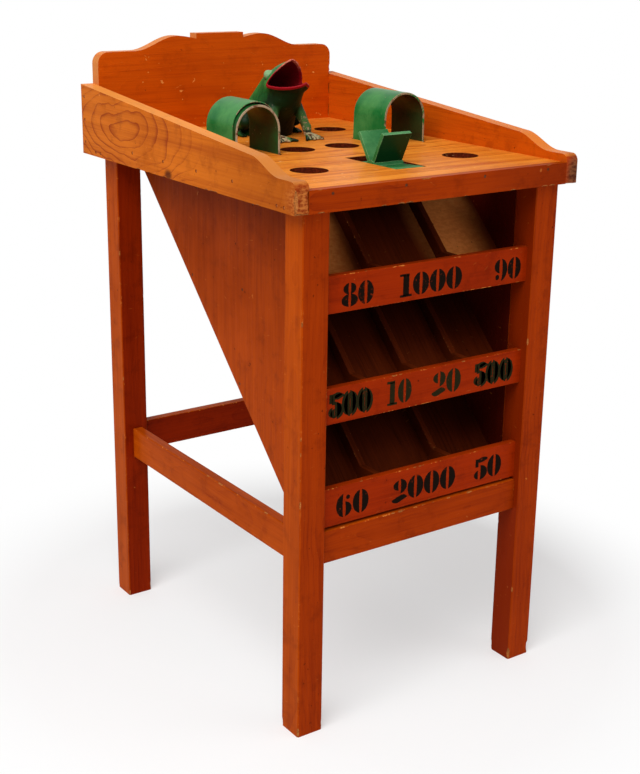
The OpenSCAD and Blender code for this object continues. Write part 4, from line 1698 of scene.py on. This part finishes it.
@dataclass
class Woodwork:
    """The cabinet's boards: which finish, wear and chips each one has."""

    nails: Sequence[Nails]
    # The front tint is painted shade on the faces that look forwards.
    frame: Varnish = Varnish(
        "frame_varnish", srgb(180, 74, 3), srgb(128, 38, 2), front=(0.8, 0.54, 0.8), ring=6 * MM,
        ring_strength=0.3, scuff=0.3,
    )
    # The front tint is painted shade, the paler top a painted highlight, and deep paints shade darker towards
    # the front.
    side: Varnish = Varnish(
        "side_varnish", srgb(204, 106, 22), srgb(146, 56, 5), front=(0.8, 0.5, 0.7), grain=Axis.Y, length=3.0,
        ring=11 * MM, ring_strength=1.15, ring_edge=7.0, ring_fade=(Axis.Y, 20 * MM, -90 * MM), swirl=0.06,
        scuff=0.45, scratched=0.35, deep=(Axis.Y, 0.0, -300 * MM, 0.4), top=srgb(246, 160, 76),
        patch_light=srgb(194, 112, 50), patch_dark=srgb(126, 40, 12),
    )
    # The front tint is painted shade and the paler top a painted highlight.
    inner_side: Varnish = Varnish(
        "inner_side_varnish", srgb(198, 84, 8), srgb(148, 50, 4), front=(0.8, 0.5, 0.7), grain=Axis.Y,
        length=6.0, ring=9 * MM, ring_strength=0.3, scuff=0.4, top=srgb(232, 134, 54),
        patch_light=srgb(124, 78, 48), patch_dark=srgb(70, 38, 24),
    )
    # The paler top and the paler faces that look to -x are painted highlights.
    back: Varnish = Varnish(
        "back_varnish", srgb(202, 80, 3), srgb(160, 50, 2), ring=8 * MM, ring_strength=0.12, scuff=0.9,
        scratched=0.5, mottled=0.22, top=srgb(228, 146, 76), inner=srgb(206, 128, 64), inner_sign=-1,
    )
    # wall paints shade on the walls of the holes and the slot.
    play: Varnish = Varnish(
        "play_varnish", srgb(240, 146, 48), srgb(184, 80, 10), heart=(-90 * MM, -70 * MM, 766 * MM),
        ring=6 * MM, ring_strength=0.95, scuff=0.9, scratched=0.5, mottled=0.28, fibres=1.1, streaks=1.9,
        worn=srgb(244, 196, 128), roughness=0.36, wall=srgb(112, 40, 20),
    )
    # inner paints shade on the panel's inner face, and deep paints shade darker towards the top, under the side
    # board.
    panel: Varnish = Varnish(
        "panel_varnish", srgb(168, 64, 2), srgb(120, 38, 1), grain=Axis.Y, length=9.0, ring=14 * MM,
        ring_strength=0.2, scuff=0.3, grime=0.5, inner=srgb(54, 1, 4), deep=(Axis.Z, 600 * MM, 800 * MM, 0.4),
    )
    # The front tint is painted shade on the faces that look forwards.
    number: Varnish = Varnish(
        "number_varnish", srgb(162, 50, 3), srgb(116, 28, 2), front=(0.95, 0.75, 0.8), ring=7 * MM,
        ring_strength=0.2, scuff=0.3,
    )
    hidden: Varnish = Varnish(
        "hidden_wood", srgb(150, 92, 44), srgb(96, 50, 20), ring=8 * MM, ring_strength=0.35, scuff=0.2,
        worn=srgb(190, 140, 90), roughness=0.7, grime=0.5,
    )
    # deep paints shade darker towards the back of each tray; patch_light and patch_dark colour the painted
    # pools of light in the top chute.
    tray: Varnish = Varnish(
        "tray_wood", srgb(104, 38, 8), srgb(56, 16, 4), ring=8 * MM, ring_strength=0.3, scuff=0.15,
        mottled=0.1, patch_light=srgb(255, 158, 80), patch_dark=srgb(238, 138, 66), worn=srgb(190, 120, 64),
        roughness=0.6, grime=0.6, sloped=True, deep=(Axis.Y, -250 * MM, -130 * MM, 0.85),
    )
    chipped: BareWood = BareWood("chipped_wood", srgb(196, 122, 58), srgb(104, 44, 16))
    dent: BareWood = BareWood("nail_dent", srgb(134, 58, 14), srgb(88, 34, 8))

    def build(self, nodes: Nodes) -> Iterator[Piece]:
        """Makes every board, each with its own grain, heart and dents.

        Args:
            nodes: The frame's nodes.

        Yields:
            The boards.
        """
        shades = (self.chipped.build(), self.dent.build())
        for index, board in enumerate((*self._frame(), *self._top(), *self._trays())):
            low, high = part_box(board.node)
            size = high - low
            finish = board.finish
            if finish.heart == NOWHERE:
                heart = (low + high) / 2
                heart[min(range(3), key=lambda k: size[k])] += (25 + 7 * (index % 5)) * MM
                grain = max(Axis, key=lambda axis: size[axis.value])
                finish = replace(finish, grain=grain, heart=tuple(heart))
            board.finish = replace(finish, name=f"{finish.name}_{board.node}", seed=0.31 * (index + 1))
            board.chips += tuple(dent for nails in self.nails for dent in nails.dents(board.node))
            yield board.build(nodes, shades)

    def _frame(self) -> list[Board]:
        """Lists the legs, the stretchers and the hidden battens.

        Returns:
            The boards.
        """
        boards = []
        for seed, name in enumerate(("leg_front_left", "leg_front_right", "leg_rear_left", "leg_rear_right")):
            chips = ()
            for x, y in ((0, 0), (1, 0), (0, 1), (1, 1)):
                foot = corner(name, x, y, 0)
                draw = seed * 4 + x + 2 * y
                chips += edge_chips(foot, corner(name, x, y, 1), 5, 1.7, 11 + draw)
                chips += edge_chips(foot, foot + Vector((0, 0, 12 * MM)), 2, 3.2, 31 + draw)
            finish = self.frame
            # Painted shade on the right legs' inner faces and, darker, on the rear legs' fronts.
            if name.endswith("right"):
                finish = replace(finish, inner=srgb(118, 28, 2), inner_sign=-1)
            elif "rear" in name:
                finish = replace(finish, front=(0.55, 0.24, 0.6))
            boards.append(Board(name, finish, "frame_varnish", 2.0, chips))
        for name, *edge in (
            ("side_stretcher_left", (0, 0), (0, 1), 5, 1.5, 52),
            ("side_stretcher_right", (1, 0), (1, 1), 5, 1.5, 53),
            ("front_stretcher", (0, 0), (1, 0), 7, 1.6, 51),
        ):
            boards.append(Board(name, self.frame, "frame_varnish", 1.8, self._top_chips(name, *edge)))
        # Painted shade, darker still, on the rear stretcher's front.
        shaded_rear = replace(self.frame, front=(0.5, 0.2, 0.5))
        boards.append(Board("rear_stretcher", shaded_rear, "frame_varnish", 1.8))
        for name in ("rear_rail", "front_batten", "side_batten_left", "side_batten_right"):
            boards.append(Board(name, self.hidden, "bare_wood", 1.0))
        return boards

    @staticmethod
    def _top_chips(
        node: str, start: tuple[int, int], end: tuple[int, int], count: int, size: float, seed: int
    ) -> tuple[Chip, ...]:
        """Places chips along one of a board's top edges.

        Args:
            node: The board's node.
            start: The edge's first corner in x and y.
            end: Its last corner.
            count: How many chips there are.
            size: The size of a middling chip, in millimetres.
            seed: Settles their places.

        Returns:
            The chips.
        """
        return edge_chips(corner(node, *start, 1), corner(node, *end, 1), count, size, seed)

    def _top(self) -> list[Board]:
        """Lists the play board and the boards round it.

        Returns:
            The boards.
        """
        left, right, back, fascia = "side_board_left", "side_board_right", "back_board", "front_fascia"
        nose = corner(left, 0, 0, 0)
        inner_nose = nose + Vector((22 * MM, 0, 0))
        left_finish = replace(
            self.side, heart=(nose.x - 5 * MM, 163 * MM, 855 * MM),
            knots=(Knot((nose.x, 24 * MM, 801 * MM), 11 * MM),),
            patches=(Knot((-244 * MM, nose.y, 815 * MM), 22 * MM),),
        )
        left_chips = edge_chips(nose, corner(left, 0, 1, 0), 9, 1.7, 61)
        left_chips += edge_chips(nose, corner(left, 1, 0, 0), 5, 2.6, 62)
        left_chips += edge_chips(nose, nose + Vector((0, 0, 32 * MM)), 7, 3.4, 63)
        left_chips += edge_chips(inner_nose, inner_nose + Vector((0, 0, 30 * MM)), 5, 2.8, 60)
        right_nose = corner(right, 1, 0, 0)
        right_finish = replace(
            self.inner_side, heart=(corner(right, 0, 0, 0).x - 12 * MM, 40 * MM, 800 * MM),
            patches=(Knot(tuple(right_nose + Vector((-6 * MM, 0, 16 * MM))), 24 * MM),),
        )
        right_chips = edge_chips(right_nose, corner(right, 0, 0, 0), 4, 2.2, 64)
        right_chips += edge_chips(right_nose, corner(right, 1, 1, 0), 6, 1.6, 65)
        joint = corner(back, 1, 0, 0)
        joint_low, joint_top = (Vector((joint.x, joint.y, z * MM)) for z in (832, 935))
        # deep paints shade on the fascia, darker towards its right end.
        fascia_finish = replace(self.frame, deep=(Axis.X, 0.0, 240 * MM, 0.4))
        fascia_chips = self._top_chips(fascia, (0, 0), (1, 0), 6, 1.3, 67)
        fascia_chips += edge_chips(corner(fascia, 0, 0, 0), corner(fascia, 1, 0, 0), 8, 1.8, 68)
        return [
            Board(left, left_finish, "side_board_varnish", 2.2, left_chips),
            Board(right, right_finish, "side_board_varnish", 2.2, right_chips),
            Board(back, self.back, "panel_varnish", 2.2, edge_chips(joint_low, joint_top, 10, 2.1, 66)),
            Board(fascia, fascia_finish, "frame_varnish", 1.6, fascia_chips),
            Board("play_board", self.play, "board_varnish", 1.4),
            Board("side_panel_left", self.panel, "panel_varnish", 1.2),
            Board("side_panel_right", replace(self.panel, inner_sign=-1), "panel_varnish", 1.2),
        ]

    def _trays(self) -> list[Board]:
        """Lists the number boards, chutes, tray floors and slats.

        Returns:
            The boards.
        """
        # Painted pools of light on the top chute, where light falls in through its opening.
        painted_light_pools = (
            Knot((113 * MM, -190 * MM, 720 * MM), 80 * MM),
            Knot((-150 * MM, -180 * MM, 728 * MM), 84 * MM),
        )
        boards = []
        for seed, row in enumerate(("top", "middle", "bottom")):
            name = "number_board_" + row
            chips = self._top_chips(name, (0, 0), (1, 0), 5, 1.2, 71 + seed)
            boards.append(Board(name, self.number, "frame_varnish", 1.3, chips))
            chute = replace(self.tray, patches=painted_light_pools) if row == "top" else self.tray
            sides = ("left", "centre", "right") if row == "middle" else ("left", "right")
            boards.append(Board("chute_" + row, chute, "bare_wood", 0.8))
            for node in ("tray_floor_" + row, *(f"slat_{row}_{side}" for side in sides)):
                boards.append(Board(node, self.tray, "bare_wood", 0.8))
        return boards


@dataclass
class Metalwork:
    """The arches, the wheel, its bearings, the frog and all fasteners."""

    green: Colour = srgb(18, 104, 44)
    faded: Colour = srgb(84, 148, 78)
    maroon: Colour = srgb(58, 14, 10)
    steel: Steel = Steel("dull_steel", srgb(140, 138, 132), srgb(96, 60, 36), 0.3)
    filled: Steel = Steel("filled_nails", srgb(158, 82, 22), srgb(112, 50, 12), 0.4, 0.0)
    rusty: Steel = Steel("rusty_steel", srgb(96, 60, 40), srgb(78, 36, 16), 0.8, 0.15)
    frog_place: tuple[float, float] = (11 * MM, 160 * MM)

    def arches(self) -> Iterator[Piece]:
        """Makes the right arch and the left arch's cover and liner.

        Yields:
            The arches.
        """
        low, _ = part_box("arch_right")
        chips = (
            Knot((low.x + 9 * MM, low.y, 858 * MM), 9 * MM),
            Knot((low.x + 22 * MM, low.y, 888 * MM), 8 * MM),
        )
        right = Enamel("arch_right_enamel", self.green, self.faded, wear=0.7, seed=0.2, chips=chips)
        # The right arch's inside is painted dark green and maroon: painted shade.
        shaded_inside = Enamel("arch_right_inside", srgb(44, 58, 26), self.maroon, primer=srgb(110, 84, 56), seed=0.4)
        yield SheetArch("arch_right", right, 3.5 * MM, 3.1, inside=shaded_inside).build()
        cover = Enamel("arch_cover_enamel", self.green, self.faded, wear=0.5, seed=0.9)
        yield SheetArch("arch_left_cover", cover, 1.6 * MM, 7.7, unevenness=0.25 * MM).build()
        primer = srgb(168, 150, 122)
        liner = Enamel("arch_liner_enamel", srgb(18, 84, 36), self.maroon, primer=primer, wear=1.0, seed=1.6)
        yield SheetArch("arch_left_liner", liner, 3.5 * MM, 5.3, unevenness=0.25 * MM).build()

    def wheel(self, nodes: Nodes) -> Iterator[Piece]:
        """Makes the wheel, its axle and bearings.

        Args:
            nodes: The frame's nodes.

        Yields:
            The pieces.
        """
        # shaded paints shade on the vanes' faces that look down, and the pale green primer on the worn edges
        # also stands for painted highlights along them.
        finish = Enamel(
            "wheel_enamel", srgb(26, 100, 48), srgb(92, 152, 92), primer=srgb(128, 176, 122), wear=0.9,
            shaded=0.95, seed=2.3,
        )
        yield PaddleWheel(finish).build(nodes)
        yield MetalPart("wheel_axle", self.steel, WHEEL).build(nodes)
        for side in ("left", "right"):
            yield MetalPart("bearing_plate_" + side, self.steel, CABINET).build(nodes)
        yield Screws("bearing_screws", self.rusty).build(nodes, up=False)

    def frog(self, nodes: Nodes) -> Iterator[Piece]:
        """Makes the frog and its screws."""
        yield Frog(Vector((*self.frog_place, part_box("play_board")[1].z))).build()
        yield Screws("frog_screws", self.rusty).build(nodes, up=True)


@dataclass
class NumberRows:
    """The three rows of stencilled numbers."""

    black: Stencil = Stencil("number_paint", srgb(20, 11, 5), srgb(144, 46, 8), 0.3)
    greenish: Stencil = Stencil("faded_number_paint", srgb(34, 30, 12), srgb(140, 46, 8), 0.25)

    def build(self) -> Iterator[Piece]:
        """Makes the numbers of each board.

        Yields:
            The numbers.
        """
        top = (("80", -158, -102), ("1000", -56, 61), ("90", 123, 178))
        middle = (("500", -178, -102), ("10", -73, -27), ("20", 11, 68), ("500", 93, 170))
        bottom = (("60", -161, -101), ("2000", -58, 66), ("50", 104, 161))
        yield Numbers("number_board_top", self.black, top, 653, 687).build()
        yield Numbers("number_board_middle", self.greenish, middle, 491.6, 529, doubled=(0, 3)).build()
        yield Numbers("number_board_bottom", self.black, bottom, 334, 371).build()


@dataclass(frozen=True)
class Stage:
    """The pale floor, the soft light and the camera at the photograph's place."""

    eye: Point = (-1.2162, -1.7504, 1.1374)
    yaw: float = 0.60132
    pitch: float = -0.30081
    roll: float = 0.01185
    lens: float = 62.316
    sensor: float = 36.0
    shift: tuple[float, float] = (0.01762, -0.0371)
    floor_size: float = 14.0
    floor: Colour = (0.95, 0.95, 0.95)
    near: float = 0.3
    far: float = 0.78
    haze: float = 0.42
    ambient: float = 0.38
    key: float = 115.0
    fill: float = 0.14
    aim: Point = (0, 0, 0.6)

    def build(self) -> None:
        """Makes the camera, the floor, the world and the lamps."""
        self._camera()
        self._floor()
        self._world()
        self._lamp("key_lamp", Vector((-2.0, -1.2, 3.2)), self.key, 2.4)
        self._lamp("fill_lamp", Vector((2.2, -2.6, 1.6)), self.key * self.fill, 2.2)
        bpy.context.scene.view_settings.view_transform = "Standard"

    @staticmethod
    def _hang(name: str, data: bpy.types.ID, place: Vector, forward: Vector, roll: float = 0.0) -> Piece:
        """Puts a lamp or camera at its place.

        Args:
            name: Its name.
            data: The lamp or camera.
            place: Where it stands.
            forward: The way that it looks.
            roll: Its turn about that way.

        Returns:
            The object.
        """
        made = bpy.data.objects.new(name, data)
        turn = forward.to_track_quat("-Z", "Y").to_matrix().to_4x4()
        made.matrix_world = Matrix.Translation(place) @ turn @ Matrix.Rotation(roll, 4, "Z")
        bpy.context.scene.collection.objects.link(made)
        return made

    def _camera(self) -> None:
        """Puts the camera where the photograph was taken from."""
        camera = bpy.data.cameras.new("camera")
        camera.sensor_fit = "VERTICAL"
        camera.sensor_height = self.sensor
        camera.lens = self.lens
        camera.shift_x, camera.shift_y = self.shift
        level = math.cos(self.pitch)
        forward = Vector((math.sin(self.yaw) * level, math.cos(self.yaw) * level, math.sin(self.pitch)))
        bpy.context.scene.camera = self._hang("camera", camera, Vector(self.eye), forward, self.roll)

    def _lamp(self, name: str, place: Vector, power: float, size: float) -> None:
        """Hangs a square lamp that looks at the cabinet.

        Args:
            name: Its name.
            place: Where it hangs.
            power: Its power in watts.
            size: The length of its sides.
        """
        lamp = bpy.data.lights.new(name, "AREA")
        lamp.energy = power
        lamp.size = size
        self._hang(name, lamp, place, Vector(self.aim) - place)

    @staticmethod
    def _seen(graph: Graph) -> Signal:
        """Tells what the camera sees, also in gloss and through glass.

        Args:
            graph: The graph.

        Returns:
            1 for such a ray and 0 for others.
        """
        rays = ("Is Camera Ray", "Is Glossy Ray", "Is Transmission Ray")
        seen, gloss, through = (graph.node("ShaderNodeLightPath", output=ray) for ray in rays)
        return seen.highest(gloss).highest(through)

    def _floor(self) -> None:
        """Makes the floor, which fades to white away from the object."""
        floor = Bench.add("plane", size=self.floor_size)
        floor.name = "floor"
        graph = Graph("pale_floor")
        fade = graph.ramp(graph.vector("LENGTH", graph.place()), self.near, self.far)
        matte = graph.node("ShaderNodeBsdfPrincipled", inputs={"Base Color": self.floor, "Roughness": 0.9})
        white = graph.node("ShaderNodeEmission", inputs={"Color": WHITE, "Strength": 1.0})
        share = fade.highest(self.haze) * self._seen(graph)
        mixed = graph.node("ShaderNodeMixShader", inputs={0: share, 1: matte, 2: white})
        Bench.paint(floor, graph.end(mixed))

    def _world(self) -> None:
        """Makes the world: white to the camera and an even soft light to the object."""
        graph = Graph("studio", world=True)
        soft, plain = (
            graph.node("ShaderNodeBackground", inputs={"Color": WHITE, "Strength": level})
            for level in (self.ambient, 1.0)
        )
        mixed = graph.node("ShaderNodeMixShader", inputs={0: self._seen(graph), 1: soft, 2: plain})
        bpy.context.scene.world = graph.end(mixed, "ShaderNodeOutputWorld")


def main() -> None:
    """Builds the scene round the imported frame."""
    logging.basicConfig(level=logging.INFO, format="%(message)s")
    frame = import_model()
    nodes = frame["nodes"]
    Stage().build()
    metal = Metalwork()
    nails = (
        Nails("fascia_nails", metal.rusty, Axis.Y),
        Nails("side_board_nails", metal.filled, Axis.X),
        Nails("panel_nails", metal.rusty, Axis.X),
    )
    for group in nails:
        group.measure(nodes)
    builders = (
        Woodwork(nails).build(nodes),
        (group.build() for group in nails),
        metal.arches(),
        metal.wheel(nodes),
        metal.frog(nodes),
        NumberRows().build(),
    )
    for builder in builders:
        for piece in builder:
            LOG.info("%s: %d faces", piece.name, len(piece.data.polygons))


if __name__ == "__main__":
    main()
